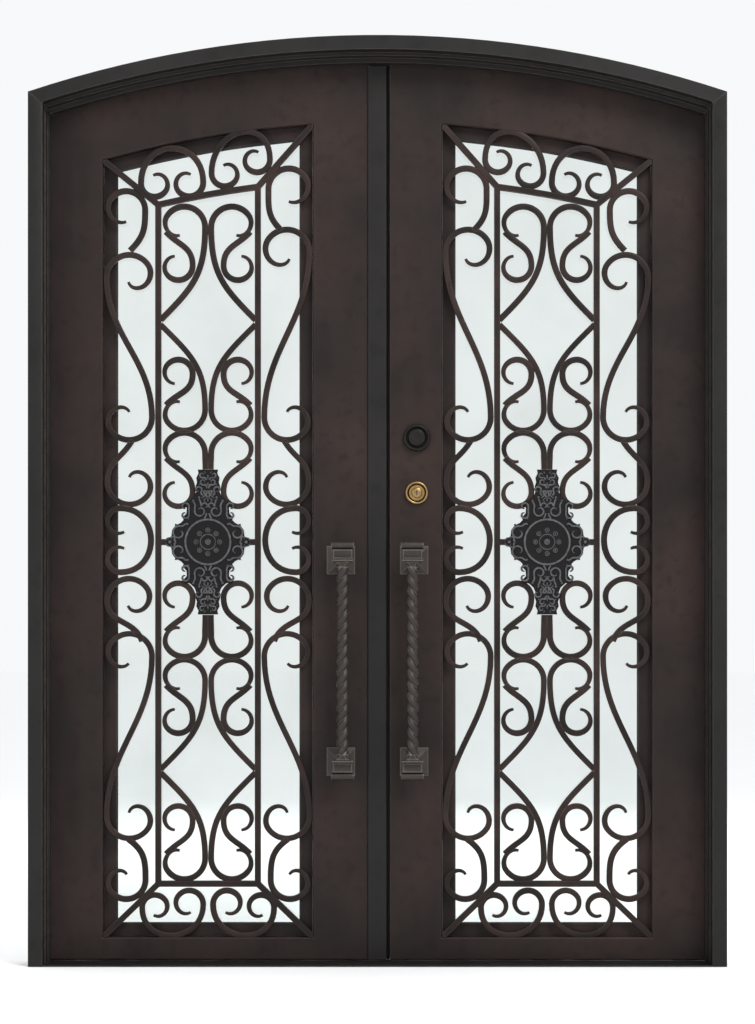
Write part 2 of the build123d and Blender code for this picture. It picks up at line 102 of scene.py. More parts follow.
class IronDoorSizes(bpy.types.PropertyGroup):
    """Sizes of the finished pieces that a user would change."""

    edge_round: FloatProperty(
        name="Edge rounding", description="Width of the softened edge on welded members",
        default=1.4 * MM, min=0.0, unit="LENGTH",
    )
    scroll_width: FloatProperty(
        name="Scroll width", description="Width of a scroll bar seen from the front",
        default=16 * MM, unit="LENGTH",
    )
    scroll_depth: FloatProperty(
        name="Scroll depth", description="Thickness of a scroll bar from front to back",
        default=SCROLL_HIGH[1] - SCROLL_LOW[1], unit="LENGTH",
    )
    tip_share: FloatProperty(
        name="Tip thickness",
        description="Share of its width that a scroll bar keeps at the tip of a volute",
        default=0.45, min=0.1, max=1.0, subtype="FACTOR",
    )
    tip_length: FloatProperty(
        name="Tip length", description="Length over which a scroll bar is drawn out to its tip",
        default=95 * MM, unit="LENGTH",
    )
    grip_width: FloatProperty(
        name="Grip width", description="Width of a pull's twisted bar over its lobes",
        default=33.6 * MM, unit="LENGTH",
    )
    twist_lead: FloatProperty(
        name="Twist lead", description="Length of one full turn of a pull's twist",
        default=62 * MM, unit="LENGTH",
    )
    strands: IntProperty(
        name="Strands", description="Round lobes of a pull's twisted bar",
        default=2, min=2,
    )
    petals: IntProperty(
        name="Petals", description="Ringed petals round the middle of a medallion",
        default=8, min=3,
    )


class IronDoorColours(bpy.types.PropertyGroup):
    """Colours of the finishes, as the renderer takes them."""

    leaf: FloatVectorProperty(
        name="Leaf iron", description="Brown black paint of the leaves",
        default=(0.0132, 0.0091, 0.0077), size=3, subtype="COLOR",
    )
    leaf_patch: FloatVectorProperty(
        name="Leaf patches", description="Warmer clouds in the paint of the leaves",
        default=(0.030, 0.0180, 0.0150), size=3, subtype="COLOR",
    )
    frame: FloatVectorProperty(
        name="Frame iron", description="Charcoal paint of the jambs and the head",
        default=(0.0115, 0.0105, 0.0102), size=3, subtype="COLOR",
    )
    # Lighter metal on the edges: partly wear where an edge is rubbed, partly a painted highlight along it
    worn_and_highlit: FloatVectorProperty(
        name="Worn edge", description="Metal that shows where an edge is rubbed",
        default=(0.085, 0.066, 0.057), size=3, subtype="COLOR",
    )
    pull: FloatVectorProperty(
        name="Pull iron", description="Aged grey brown of the pulls",
        default=(0.026, 0.0195, 0.0155), size=3, subtype="COLOR",
    )
    brass: FloatVectorProperty(
        name="Brass", description="Satin brass of the lock cylinder",
        default=(0.31, 0.205, 0.088), size=3, subtype="COLOR",
    )


def sizes():
    return bpy.context.scene.iron_door_sizes


def colours():
    return bpy.context.scene.iron_door_colours


# Node trees


def wire(tree, node, inputs):
    """Sets a node's inputs, by name or identifier, to values or to other nodes' sockets."""
    for key, value in inputs.items():
        socket = next((s for s in node.inputs if s.identifier == key), None) or node.inputs[key]
        if isinstance(value, bpy.types.NodeSocket):
            tree.links.new(value, socket)
        else:
            socket.default_value = value


class Finish:
    """A material in the making. Each step adds nodes and returns the socket it ends in."""

    def __init__(self, name):
        self.material = bpy.data.materials.new(name)
        self.material.use_nodes = True
        self.tree = self.material.node_tree
        self.shader = self.tree.nodes["Principled BSDF"]
        self.place = self.add("ShaderNodeTexCoord").outputs["Object"]

    def add(self, kind, inputs=(), **settings):
        node = self.tree.nodes.new(kind)
        for key, value in settings.items():
            setattr(node, key, value)
        wire(self.tree, node, dict(inputs))
        return node

    def noise(self, scale, detail=4.0, stretch=None):
        place = self.place
        if stretch:
            mapping = self.add("ShaderNodeMapping", {"Vector": place, "Scale": stretch})
            place = mapping.outputs["Vector"]
        inputs = {"Vector": place, "Scale": scale, "Detail": detail}
        return self.add("ShaderNodeTexNoise", inputs).outputs["Fac"]

    def level(self, value, low, high, to_low=0.0, to_high=1.0):
        """Turns low..high of a value into to_low..to_high, with nothing outside it."""
        ends = {"From Min": low, "From Max": high, "To Min": to_low, "To Max": to_high}
        return self.add("ShaderNodeMapRange", {"Value": value, **ends}).outputs["Result"]

    def maths(self, operation, a, b=0.0):
        inputs = {"Value": a, "Value_001": b}
        return self.add("ShaderNodeMath", inputs, operation=operation).outputs["Value"]

    def blend(self, share, a, b, blend_type="MIX"):
        """Colour a turned into colour b where share is 1."""
        a, b = (c if isinstance(c, bpy.types.NodeSocket) else (*c, 1.0) for c in (a, b))
        inputs = {"Factor_Float": share, "A_Color": a, "B_Color": b}
        node = self.add("ShaderNodeMix", data_type="RGBA", blend_type=blend_type)
        wire(self.tree, node, inputs)
        return node.outputs[2]

    def edges(self, radius, full=0.86):
        """1 on an edge or corner of the piece, 0 on its flat faces."""
        rounded = self.add("ShaderNodeBevel", {"Radius": radius}, samples=4).outputs["Normal"]
        flat = self.add("ShaderNodeNewGeometry").outputs["Normal"]
        normals = {"Vector": rounded, "Vector_001": flat}
        alike = self.add("ShaderNodeVectorMath", normals, operation="DOT_PRODUCT")
        return self.level(alike.outputs["Value"], 0.995, full)

    def shade_from_hollows(self, distance):
        """Ambient occlusion, used to paint shade into hollows: 0 deep in a hollow, 1 in the open."""
        node = self.add("ShaderNodeAmbientOcclusion", {"Distance": distance}, samples=6)
        return node.outputs["AO"]

    def bump(self, height, strength, distance):
        inputs = {"Height": height, "Strength": strength, "Distance": distance}
        return self.add("ShaderNodeBump", inputs).outputs["Normal"]

    def finish(self, **inputs):
        wire(self.tree, self.shader, {k.replace("_", " "): v for k, v in inputs.items()})
        return self.material


class Recipe:
    """A geometry node tree in the making, with a Geometry and a Material input and named sizes."""

    def __init__(self, name, sizes_in):
        self.tree = bpy.data.node_groups.new(name, "GeometryNodeTree")
        face = self.tree.interface
        face.new_socket("Geometry", in_out="INPUT", socket_type="NodeSocketGeometry")
        for size, default in sizes_in.items():
            face.new_socket(size, in_out="INPUT", socket_type="NodeSocketFloat")
            face.items_tree[-1].default_value = default
        face.new_socket("Material", in_out="INPUT", socket_type="NodeSocketMaterial")
        face.new_socket("Geometry", in_out="OUTPUT", socket_type="NodeSocketGeometry")
        self.start = self.tree.nodes.new("NodeGroupInput").outputs

    def add(self, kind, inputs=(), **settings):
        node = self.tree.nodes.new(kind)
        for key, value in settings.items():
            setattr(node, key, value)
        wire(self.tree, node, dict(inputs))
        return node.outputs

    def maths(self, operation, a, b=0.0):
        return self.add("ShaderNodeMath", {"Value": a, "Value_001": b}, operation=operation)["Value"]

    def end(self, geometry):
        real = self.add("GeometryNodeRealizeInstances", {"Geometry": geometry})
        painted = {"Geometry": real["Geometry"], "Material": self.start["Material"]}
        final = self.add("GeometryNodeSetMaterial", painted)["Geometry"]
        output = self.tree.nodes.new("NodeGroupOutput")
        self.tree.links.new(final, output.inputs[0])
        return self.tree

    def rounded_bar(self, width, depth, edge):
        """The section of a bar with softened corners."""
        oblong = {"Width": width, "Height": depth}
        outline = self.add("GeometryNodeCurvePrimitiveQuadrilateral", oblong)["Curve"]
        rounded = {"Curve": outline, "Count": 2, "Radius": edge, "Limit Radius": True}
        return self.add("GeometryNodeFilletCurve", rounded, mode="POLY")["Curve"]


def bar_along_lines():
    """Sweeps a bar along flat lines, thinner where their taper says so, and stands it upright."""
    recipe = Recipe("Bar along lines", {"Width": 0.016, "Depth": 0.012, "Edge": 0.002, "Y": 0.0})
    start = recipe.start
    curve = recipe.add("GeometryNodeMeshToCurve", {"Mesh": start["Geometry"]})["Curve"]
    taper = recipe.add("GeometryNodeInputNamedAttribute", {"Name": "taper"}, data_type="FLOAT")
    curve = recipe.add("GeometryNodeSetCurveNormal", {"Curve": curve}, mode="Z_UP")["Curve"]
    section = recipe.rounded_bar(start["Width"], start["Depth"], start["Edge"])
    swept = {"Curve": curve, "Profile Curve": section, "Fill Caps": True}
    swept["Scale"] = taper["Attribute"]
    bar = recipe.add("GeometryNodeCurveToMesh", swept)["Mesh"]
    smooth = recipe.add("GeometryNodeSetShadeSmooth", {"Geometry": bar})["Geometry"]
    place = recipe.add("ShaderNodeCombineXYZ", {"Y": start["Y"]})["Vector"]
    upright = {"Geometry": smooth, "Translation": place, "Rotation": (pi / 2, 0, 0)}
    return recipe.end(recipe.add("GeometryNodeTransform", upright)["Geometry"])


def twisted_bar():
    """A bar with round lobes like the strands of a rope, turning at an even rate along a line."""
    sizes_in = {"Lobe": 0.0168, "Groove": 0.0108, "Lobes": 2.0, "Turn": 1.0, "Rings": 180.0}
    recipe = Recipe("Twisted bar", sizes_in)
    start = recipe.start
    curve = recipe.add("GeometryNodeMeshToCurve", {"Mesh": start["Geometry"]})["Curve"]
    even = recipe.add("GeometryNodeResampleCurve", {"Curve": curve, "Count": start["Rings"]})
    share = recipe.add("GeometryNodeSplineParameter")["Factor"]
    tilt = recipe.maths("MULTIPLY", share, start["Turn"])
    curve = recipe.add("GeometryNodeSetCurveTilt", {"Curve": even["Curve"], "Tilt": tilt})["Curve"]
    circle = recipe.add("GeometryNodeCurvePrimitiveCircle", {"Resolution": 48, "Radius": 1.0})
    round_it = recipe.add("GeometryNodeSplineParameter")["Factor"]
    half_turns = recipe.maths("MULTIPLY", round_it, recipe.maths("MULTIPLY", start["Lobes"], pi))
    wave = recipe.maths("COSINE", half_turns)
    lobes = recipe.maths("POWER", recipe.maths("ABSOLUTE", wave), 0.85)
    rise = recipe.maths("SUBTRACT", start["Lobe"], start["Groove"])
    reach = recipe.maths("ADD", start["Groove"], recipe.maths("MULTIPLY", rise, lobes))
    place = recipe.add("GeometryNodeInputPosition")["Position"]
    scaled = recipe.add("ShaderNodeVectorMath", {"Vector": place, "Scale": reach}, operation="SCALE")
    section = {"Geometry": circle["Curve"], "Position": scaled["Vector"]}
    section = recipe.add("GeometryNodeSetPosition", section)["Geometry"]
    swept = {"Curve": curve, "Profile Curve": section, "Fill Caps": True}
    bar = recipe.add("GeometryNodeCurveToMesh", swept)["Mesh"]
    return recipe.end(recipe.add("GeometryNodeSetShadeSmooth", {"Geometry": bar})["Geometry"])


def copies_on_points():
    """Puts a small piece on every point, each turned a little further round the Y axis."""
    recipe = Recipe("Copies on points", {"Turn": 0.0})
    start = recipe.start
    recipe.tree.interface.new_socket("Item", in_out="INPUT", socket_type="NodeSocketObject")
    item = recipe.add("GeometryNodeObjectInfo", {"Object": start["Item"]})["Geometry"]
    index = recipe.add("GeometryNodeInputIndex")["Index"]
    turn = recipe.maths("MULTIPLY", index, start["Turn"])
    rotation = recipe.add("ShaderNodeCombineXYZ", {"Y": turn})["Vector"]
    placed = {"Points": start["Geometry"], "Instance": item, "Rotation": rotation}
    return recipe.end(recipe.add("GeometryNodeInstanceOnPoints", placed)["Instances"])


def copies(item, points, slot, turn=0.0):
    """A mesh with one copy of a small form on each point."""
    spots = bpy.data.meshes.new("spots")
    spots.from_pydata(points, [], [])
    form = bpy.data.objects.new("item", to_mesh(outwards(item), "item"))
    mesh = cooked(copies_on_points(), spots, Item=form, Turn=turn, Material=material(slot))
    bpy.data.objects.remove(form)
    return mesh


def cooked(tree, source, **values):
    """The plain mesh that a node tree makes from a source mesh and its named sizes."""
    cook = bpy.data.objects.new("cook", source)
    bpy.context.scene.collection.objects.link(cook)
    modifier = cook.modifiers.new("recipe", "NODES")
    modifier.node_group = tree
    for item in tree.interface.items_tree:
        if item.in_out == "INPUT" and item.name in values:
            modifier[item.identifier] = values[item.name]
    graph = bpy.context.evaluated_depsgraph_get()
    result = bpy.data.meshes.new_from_object(cook.evaluated_get(graph))
    bpy.data.objects.remove(cook)
    return result


# Meshes


def piece(name, mesh, body, slot, *nodes):
    """Adds a finished piece that rides on a body in place of CAD nodes."""
    if not mesh.materials:
        mesh.materials.append(material(slot))
    thing = bpy.data.objects.new(name, mesh)
    bpy.context.scene.collection.objects.link(thing)
    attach(thing, body)
    if nodes:
        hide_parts(*nodes)
    return thing


def merged(*nodes):
    """CAD nodes' loose triangles, joined into clean faces."""
    shape = bmesh.new()
    for node in nodes:
        shape.from_mesh(frame["nodes"][node].data)
    bmesh.ops.remove_doubles(shape, verts=shape.verts, dist=MM / 50)
    flat = radians(0.5)
    bmesh.ops.dissolve_limit(shape, angle_limit=flat, verts=shape.verts, edges=shape.edges)
    return shape


def to_mesh(shape, name, sharp=35):
    """A form as a mesh that is smooth but for edges sharper than an angle in degrees."""
    mesh = bpy.data.meshes.new(name)
    shape.to_mesh(mesh)
    shape.free()
    mesh.polygons.foreach_set("use_smooth", [True] * len(mesh.polygons))
    mesh.set_sharp_from_angle(angle=radians(sharp))
    return mesh


def soften(thing, width, angle=30, segments=2):
    """Rounds a piece's sharp edges a little, without dents in the shading of its flat faces."""
    bevel = thing.modifiers.new("softened edges", "BEVEL")
    bevel.width = width
    bevel.segments = segments
    bevel.limit_method = "ANGLE"
    bevel.angle_limit = radians(angle)
    bevel.harden_normals = True


def softened(name, body, slot, *nodes, width=None):
    """CAD nodes as one piece with softened edges."""
    thing = piece(name, to_mesh(merged(*nodes), name), body, slot, *nodes)
    soften(thing, width or sizes().edge_round)
    return thing


def arched(x_low, x_high, z_low, radius, y):
    """A loop with three straight sides and a top that follows the arch."""
    loop = [Vector((x_low, y, z_low)), Vector((x_high, y, z_low))]
    for i in range(ARCH_STEPS + 1):
        x = x_high + (x_low - x_high) * i / ARCH_STEPS
        loop.append(Vector((x, y, ARCH_CENTRE + sqrt(radius**2 - x**2))))
    return loop


def shrunk(outline, by):
    """An arched outline (x low, x high, z low, radius) with less all round."""
    x_low, x_high, z_low, radius = outline
    return x_low + by, x_high - by, z_low + by, radius - by


def welded_ring(name, body, slot, outer, inner, depth, *nodes, ease=0.2 * MM):
    """A frame with an arched top, one piece with no seams, between two arched outlines.

    The inner edge that looks to the street is eased.
    """
    shape = bmesh.new()
    front, back = depth
    loops = [arched(*outer, front), arched(*outer, back), arched(*inner, back)]
    loops += [arched(*inner, front + ease), arched(*shrunk(inner, -ease), front)]
    rings(shape, loops, joined_up=True)
    thing = piece(name, to_mesh(outwards(shape), name), body, slot, *nodes)
    soften(thing, sizes().edge_round)
    return thing


def rings(shape, loops, joined_up=False):
    """A skin over loops of points with the same count: capped, or from the last to the first."""
    rows = [[shape.verts.new(p) for p in loop] for loop in loops]
    following_rows = rows[1:] + rows[:1] if joined_up else rows[1:]
    for row, following in zip(rows, following_rows):
        for i in range(len(row)):
            j = (i + 1) % len(row)
            shape.faces.new((row[i], row[j], following[j], following[i]))
    if not joined_up:
        shape.faces.new(rows[0][::-1])
        shape.faces.new(rows[-1])


def outwards(shape):
    bmesh.ops.recalc_face_normals(shape, faces=shape.faces)
    return shape


def lathe(shape, centre, axis, profile, steps=48):
    """A turned form. The profile gives (radius, distance along the axis) in millimetres."""
    turn = Vector(UP).rotation_difference(Vector(axis)).to_matrix()
    loops = []
    for radius, along in profile:
        loop = []
        for i in range(steps):
            flat = pointing(360 * i / steps) * radius
            loop.append(Vector(centre) + turn @ Vector((*flat, along)) * MM)
        loops.append(loop)
    rings(shape, loops)


def rectangle(centre, across, along, width, length, corner=0.0):
    """The corners of a rectangle in a plane, cut across where a corner size is given."""
    across, along = Vector(across), Vector(along)
    half, reach = width / 2, length / 2
    quarter = ((half, reach - corner), (half - corner, reach)) if corner else ((half, reach),)
    places = []
    for u, v in ((1, -1), (1, 1), (-1, 1), (-1, -1)):
        turn = quarter if u == v else quarter[::-1]
        places += [(u * x, v * y) for x, y in turn]
    return [Vector(centre) + across * x + along * y for x, y in places]


def dome(shape, centre, reach_x, reach_z, height, angle=0.0, steps=14):
    """A low rounded boss on a face that looks towards the street."""
    loops = []
    for level, share in DOME:
        loop = []
        for i in range(steps):
            spot = pointing(360 * i / steps)
            flat = Vector((spot.x * reach_x, spot.y * reach_z)) * share
            flat.rotate(Matrix.Rotation(radians(angle), 2))
            loop.append(Vector(centre) + Vector((flat.x, -height * level, flat.y)))
        loops.append(loop)
    rings(shape, loops)


def stacked(shape, centre, towards, rows):
    """A form through level rectangles: (distance, width, length, cut corner) in millimetres."""
    along = Vector(towards).cross(Vector(ACROSS))
    loops = []
    for distance, width, length, corner in rows:
        spot = Vector(centre) + Vector(towards) * distance * MM
        loops.append(rectangle(spot, ACROSS, along, width * MM, length * MM, corner * MM))
    rings(shape, loops)


def joined(*meshes):
    """Several meshes as one form."""
    shape = bmesh.new()
    for mesh in meshes:
        shape.from_mesh(mesh)
    return shape


def indoors(mesh):
    """The same form mirrored to the other face of the leaf."""
    shape = bmesh.new()
    shape.from_mesh(mesh)
    for point in shape.verts:
        point.co.y = 2 * LEAF_MIDDLE - point.co.y
    bmesh.ops.reverse_faces(shape, faces=shape.faces)
    return shape


def on_leaf(shape, way):
    """A form drawn on the right leaf, mirrored if it is for the left one."""
    if way < 0:
        for point in shape.verts:
            point.co.x = -point.co.x
        bmesh.ops.reverse_faces(shape, faces=shape.faces)
    return shape


# Scrolls: each one is a line with a volute or a plain end at both of its ends

VOLUTE_HOLD = 150.0
VOLUTE_CLOSING = 0.7
HOOK_CLOSING = 1.6
VOLUTE_STEP = 7.5
STEM_STEPS = 22
LAP = 0.03

Volute = namedtuple("Volute", "x z radius start sweep closing", defaults=(VOLUTE_CLOSING,))
End = namedtuple("End", "x z heading")
Scroll = namedtuple("Scroll", "first last bulge", defaults=(0.45,))

# Side borders from the top down, in millimetres from the middle of the leaf
LOWER_BORDER = [
    Scroll(End(-201, 1385, 60), Volute(-208, 1274, 59, 180, 275, 1.35)),
    Scroll(Volute(-233, 1171, 34, 90, 200), Volute(-233, 1069, 34, 270, -200), 0.64),
    Scroll(Volute(-210, 960, 58, 180, -280, 1.25), End(-175, 852, -70)),
    Scroll(Volute(-209, 812, 60, 0, 265, 1.35), Volute(-209, 389, 60, 180, 275, 1.5), 0.4),
    Scroll(End(-212, 327, 145), Volute(-217, 219, 51, 0, -275, 1.25)),
]
HINGE_SIDE_TOP = [
    Scroll(Volute(-217, 1996, 50, 0, 270), End(-207, 1888, 225)),
    Scroll(Volute(-209, 1817, 60, 180, -280, 1.3), Volute(-209, 1446, 60, 0, -270, 1.4), 0.4),
]
LOCK_SIDE_TOP = [
    Scroll(Volute(214, 2052, 54, 180, -270), End(194, 1942, -45)),
    Scroll(Volute(209, 1884, 60, 0, 290, 1.0), Volute(209, 1446, 60, 180, 270, 1.4), 0.4),
]

# Middle panel: large volutes that spring from its bars, small ones from their tips
LARGE_X, LARGE_RADIUS = -63.0, 55.0
SMALL_X, SMALL_RADIUS = -79.0, 38.0
Spring = namedtuple("Spring", "large_z small_z root heading")
SPRINGS = (
    Spring(1950, 1848, (-126, 1704), 225),
    Spring(1466, 1561, (-126, 1692), 135),
    Spring(1350, 1248, (-7, 1308), 270),
    Spring(866, 968, (-7, 922), 90),
    Spring(748, 646, (-126, 512), 225),
    Spring(276, 377, (-126, 504), 135),
)

# Top and bottom borders
TOP_ENDS = [
    Scroll(Volute(-142, 2067, 36, 180, 280), Volute(-50, 2069, 37, 0, -280), 0.74),
    Scroll(Volute(44, 2094, 35, 180, 280), Volute(130, 2130, 34, 0, -280), 0.75),
]
BOTTOM_ENDS = [
    Scroll(Volute(-141, 145, 34, 180, -280), Volute(-50, 154, 37, 0, 280), 0.64),
]


# A quarter of the medallion's ornament, in millimetres from its middle
MEDALLION_Z = (MEDALLION_LOW[2] + MEDALLION_HIGH[2]) / 2
SIDE_CURLS = [
    Scroll(Volute(76, 26, 16, 100, -330, 0.8), End(52, 46, 225), 0.5),
    Scroll(Volute(59, 72, 9, 180, 265, 0.9), Volute(59, 94, 9, 180, -265, 0.9), 0.5),
    Scroll(Volute(93, 9, 5, 200, -250, 0.8), End(84, 2, 190), 0.5),
    Volute(101, 0, 11, 5, 85, 0.0),
]
FAN_CURLS = [
    Scroll(Volute(22, 82, 13, 0, -320, 0.8), End(38, 106, 60), 0.6),
    Scroll(Volute(9, 96, 7, 20, 250, 0.8), End(24, 114, 45), 0.6),
    Volute(0, 104, 13, 90, -75, 0.0),
    Volute(0, 104, 20, 90, -62, 0.0),
    Scroll(End(4, 76, 90), End(9, 62, 290), 0.4),
    Scroll(Volute(24, 138, 8, 200, -300, 0.8), End(13, 124, 200), 0.5),
    Scroll(Volute(12, 158, 7, 250, 320, 0.8), End(2, 142, 250), 0.5),
    Scroll(Volute(15, 176, 6, 260, 300, 0.8), End(4, 164, 250), 0.5),
    Scroll(Volute(8, 130, 5, 90, 280, 0.8), End(2, 118, 250), 0.5),
]
# Height of a boss and its reach there, as shares of the whole
DOME = ((-0.2, 1.0), (0.0, 1.0), (0.38, 0.93), (0.7, 0.72), (0.92, 0.4), (1.0, 0.08))
BOSSES = (
    # x, z, reach along x, reach along z, height, turn
    (101, 0, 5.5, 5.5, 3.4, 0),
    (91, 14, 3.5, 3.5, 2.4, 0),
    (52, 62, 3.6, 3.6, 2.6, 0),
    (84, 45, 4.0, 3.0, 2.6, 30),
    (39, 109, 4.2, 4.2, 3.2, 0),
    (23, 118, 4.2, 4.2, 3.2, 0),
    (0, 96, 3.2, 6.5, 3.2, 0),
    (0, 112, 3.0, 7.5, 2.8, 0),
    (9, 109, 2.4, 6.5, 2.6, -32),
    (0, 134, 3.4, 6.0, 3.0, 0),
    (0, 152, 3.0, 7.0, 3.0, 0),
    (8, 150, 2.6, 5.5, 2.6, -30),
    (22, 152, 3.4, 3.4, 2.6, 0),
    (0, 172, 3.2, 8.0, 3.2, 0),
    (8, 184, 2.6, 5.0, 2.6, -25),
    (24, 168, 3.0, 3.0, 2.2, 0),
)


def flipped(scrolls, upside_down=False):
    """The same scrolls on the other side of the upright axis, or of the level one."""
    for scroll in scrolls:
        alone = isinstance(scroll, Volute)
        ends = []
        for end in [scroll] if alone else scroll[:2]:
            if upside_down:
                spot = (end.x, -end.z)
            else:
                spot = (-end.x, end.z)
            if isinstance(end, End):
                heading = -end.heading if upside_down else 180 - end.heading
                ends.append(End(*spot, heading))
            else:
                start = -end.start if upside_down else 180 - end.start
                ends.append(Volute(*spot, end.radius, start, -end.sweep, end.closing))
        yield ends[0] if alone else Scroll(*ends, scroll.bulge)


def middle_panel():
    half = []
    for spring in SPRINGS:
        up = 1 if spring.large_z > spring.small_z else -1
        large = Volute(LARGE_X, spring.large_z, LARGE_RADIUS, 0, up * 240, HOOK_CLOSING)
        small = Volute(SMALL_X, spring.small_z, SMALL_RADIUS, 0, -up * 250)
        from_large = End(-112, spring.large_z - up * 12, up * 133)
        half.append(Scroll(large, End(*spring.root, spring.heading)))
        half.append(Scroll(small, from_large))
    return half + list(flipped(half))


def grille_groups():
    """The scrolls of one leaf's grille by CAD node."""
    ends = TOP_ENDS + BOTTOM_ENDS + list(flipped(BOTTOM_ENDS))
    return {
        "hinge_side_scrolls": HINGE_SIDE_TOP + LOWER_BORDER,
        "lock_side_scrolls": LOCK_SIDE_TOP + list(flipped(LOWER_BORDER)),
        "centre_scrolls": middle_panel(),
        "end_scrolls": ends,
    }


def pointing(degrees):
    return Vector((cos(radians(degrees)), sin(radians(degrees))))


def volute_line(volute):
    """Centre line of a volute from its stem to its tip: round at first, then closing in."""
    steps = max(2, round(abs(volute.sweep) / VOLUTE_STEP))
    for i in range(steps + 1):
        turned = volute.sweep * i / steps
        closed = max(0.0, abs(turned) - VOLUTE_HOLD) / 180
        reach = volute.radius * (1 - volute.closing * closed**1.5)
        yield Vector((volute.x, volute.z)) + pointing(volute.start + turned) * reach


def end_line(end):
    """Centre line of one end of a scroll, and the heading of the bar that runs into it."""
    if isinstance(end, End):
        return [Vector((end.x, end.z))], pointing(end.heading)
    quarter = 90 if end.sweep > 0 else -90
    return list(volute_line(end)), pointing(end.start + quarter)


def scroll_line(scroll):
    """The whole centre line of a scroll, or of a volute by itself, in millimetres."""
    if isinstance(scroll, Volute):
        return list(volute_line(scroll))
    head, head_heading = end_line(scroll.first)
    tail, tail_heading = end_line(scroll.last)
    handle = (tail[0] - head[0]).length * scroll.bulge
    corners = (head[0], head[0] - head_heading * handle, tail[0] - tail_heading * handle, tail[0])
    stem = []
    for i in range(1, STEM_STEPS):
        t = i / STEM_STEPS
        weights = ((1 - t) ** 3, 3 * t * (1 - t) ** 2, 3 * t**2 * (1 - t), t**3)
        stem.append(sum((c * w for c, w in zip(corners, weights)), Vector((0, 0))))
    return head[::-1] + stem + tail


def line_mesh(scrolls, side, centre_z=0.0, tip_length=None):
    """Lines of scrolls as one mesh of edges in metres, with the taper of the bar at each point.

    Neighbours differ a little in thickness, so that none share a face where they cross.
    """
    tip_length = tip_length or sizes().tip_length
    points, edges, tapers = [], [], []
    for index, scroll in enumerate(scrolls):
        spots = [p * MM for p in scroll_line(scroll)]
        line = [Vector((side * (LEAF_X - p.x), p.y + centre_z, 0)) for p in spots]
        along = [0.0]
        for a, b in zip(line, line[1:]):
            along.append(along[-1] + (b - a).length)
        first = len(points)
        edges += [(first + i, first + i + 1) for i in range(len(line) - 1)]
        points += line
        whole = 1.0 - LAP * (index % 3)
        for reach in along:
            taper = whole
            if isinstance(scroll, Volute) or isinstance(scroll.first, Volute):
                taper = min(taper, drawn_out(reach, tip_length))
            if isinstance(scroll, Volute) or isinstance(scroll.last, Volute):
                taper = min(taper, drawn_out(along[-1] - reach, tip_length))
            tapers.append(taper)
    mesh = bpy.data.meshes.new("lines")
    mesh.from_pydata(points, edges, [])
    mesh.attributes.new("taper", "FLOAT", "POINT").data.foreach_set("value", tapers)
    return mesh


def drawn_out(reach, tip_length):
    """Share of the bar's width at some distance from the tip of a volute."""
    tip = sizes().tip_share
    return tip + (1 - tip) * min(1.0, reach / tip_length) ** 0.8


# Materials, one for each slot of the record


def painted_iron(name, base, patch, wear_and_highlight=0.8, roughness=0.5, cloud=2.6):
    """Hand brushed satin paint on steel: soft clouds, faint drips, and lighter edges that are partly rubbed
    wear and partly a painted highlight.
    """
    look = Finish(name)
    clouds = look.level(look.noise(cloud, 5.0), 0.40, 0.64)
    mottle = look.noise(34.0, 6.0)
    drips = look.level(look.noise(26.0, 4.0, (1, 1, 0.1)), 0.45, 0.75)
    speck = look.noise(620.0, 2.0)
    dark = [c * 0.62 for c in base]
    colour = look.blend(clouds, base, patch)
    colour = look.blend(look.level(mottle, 0.52, 0.72, 0.0, 0.55), colour, dark)
    colour = look.blend(look.maths("MULTIPLY", drips, 0.25), colour, patch)
    colour = look.blend(look.level(speck, 0.35, 0.7, 0.0, 0.3), colour, dark)
    patchy = look.level(mottle, 0.30, 0.62, 0.25, 1.0)
    # Edges made lighter: partly rubbed wear, partly a painted highlight along every edge
    rubbed_and_highlit = look.maths("MULTIPLY", look.maths("MULTIPLY", look.edges(3.0 * MM, 0.93), patchy), wear_and_highlight)
    colour = look.blend(rubbed_and_highlit, colour, tuple(colours().worn_and_highlit))
    rough = look.level(look.noise(15.0, 6.0), 0.35, 0.7, roughness - 0.1, roughness + 0.14)
    brushed = look.noise(240.0, 3.0, (1, 1, 0.25))
    normal = look.bump(look.maths("ADD", brushed, look.maths("MULTIPLY", mottle, 1.5)), 0.35, 0.4 * MM)
    return look.finish(Base_Color=colour, Roughness=rough, Normal=normal, Specular_IOR_Level=0.17)


def frame_iron():
    base = colours().frame
    return painted_iron("Charcoal iron", base, [c * 1.35 for c in base], wear_and_highlight=0.9, roughness=0.46)


def leaf_iron():
    return painted_iron("Brown black iron", colours().leaf, colours().leaf_patch)


def grille_iron():
    base = [c * 0.86 for c in colours().leaf]
    return painted_iron("Forged iron", base, colours().leaf_patch, wear_and_highlight=0.75, roughness=0.48, cloud=7.0)


def hinge_steel():
    base = [c * 0.9 for c in colours().frame]
    return painted_iron("Hinge steel", base, colours().frame, wear_and_highlight=1.0, roughness=0.42)


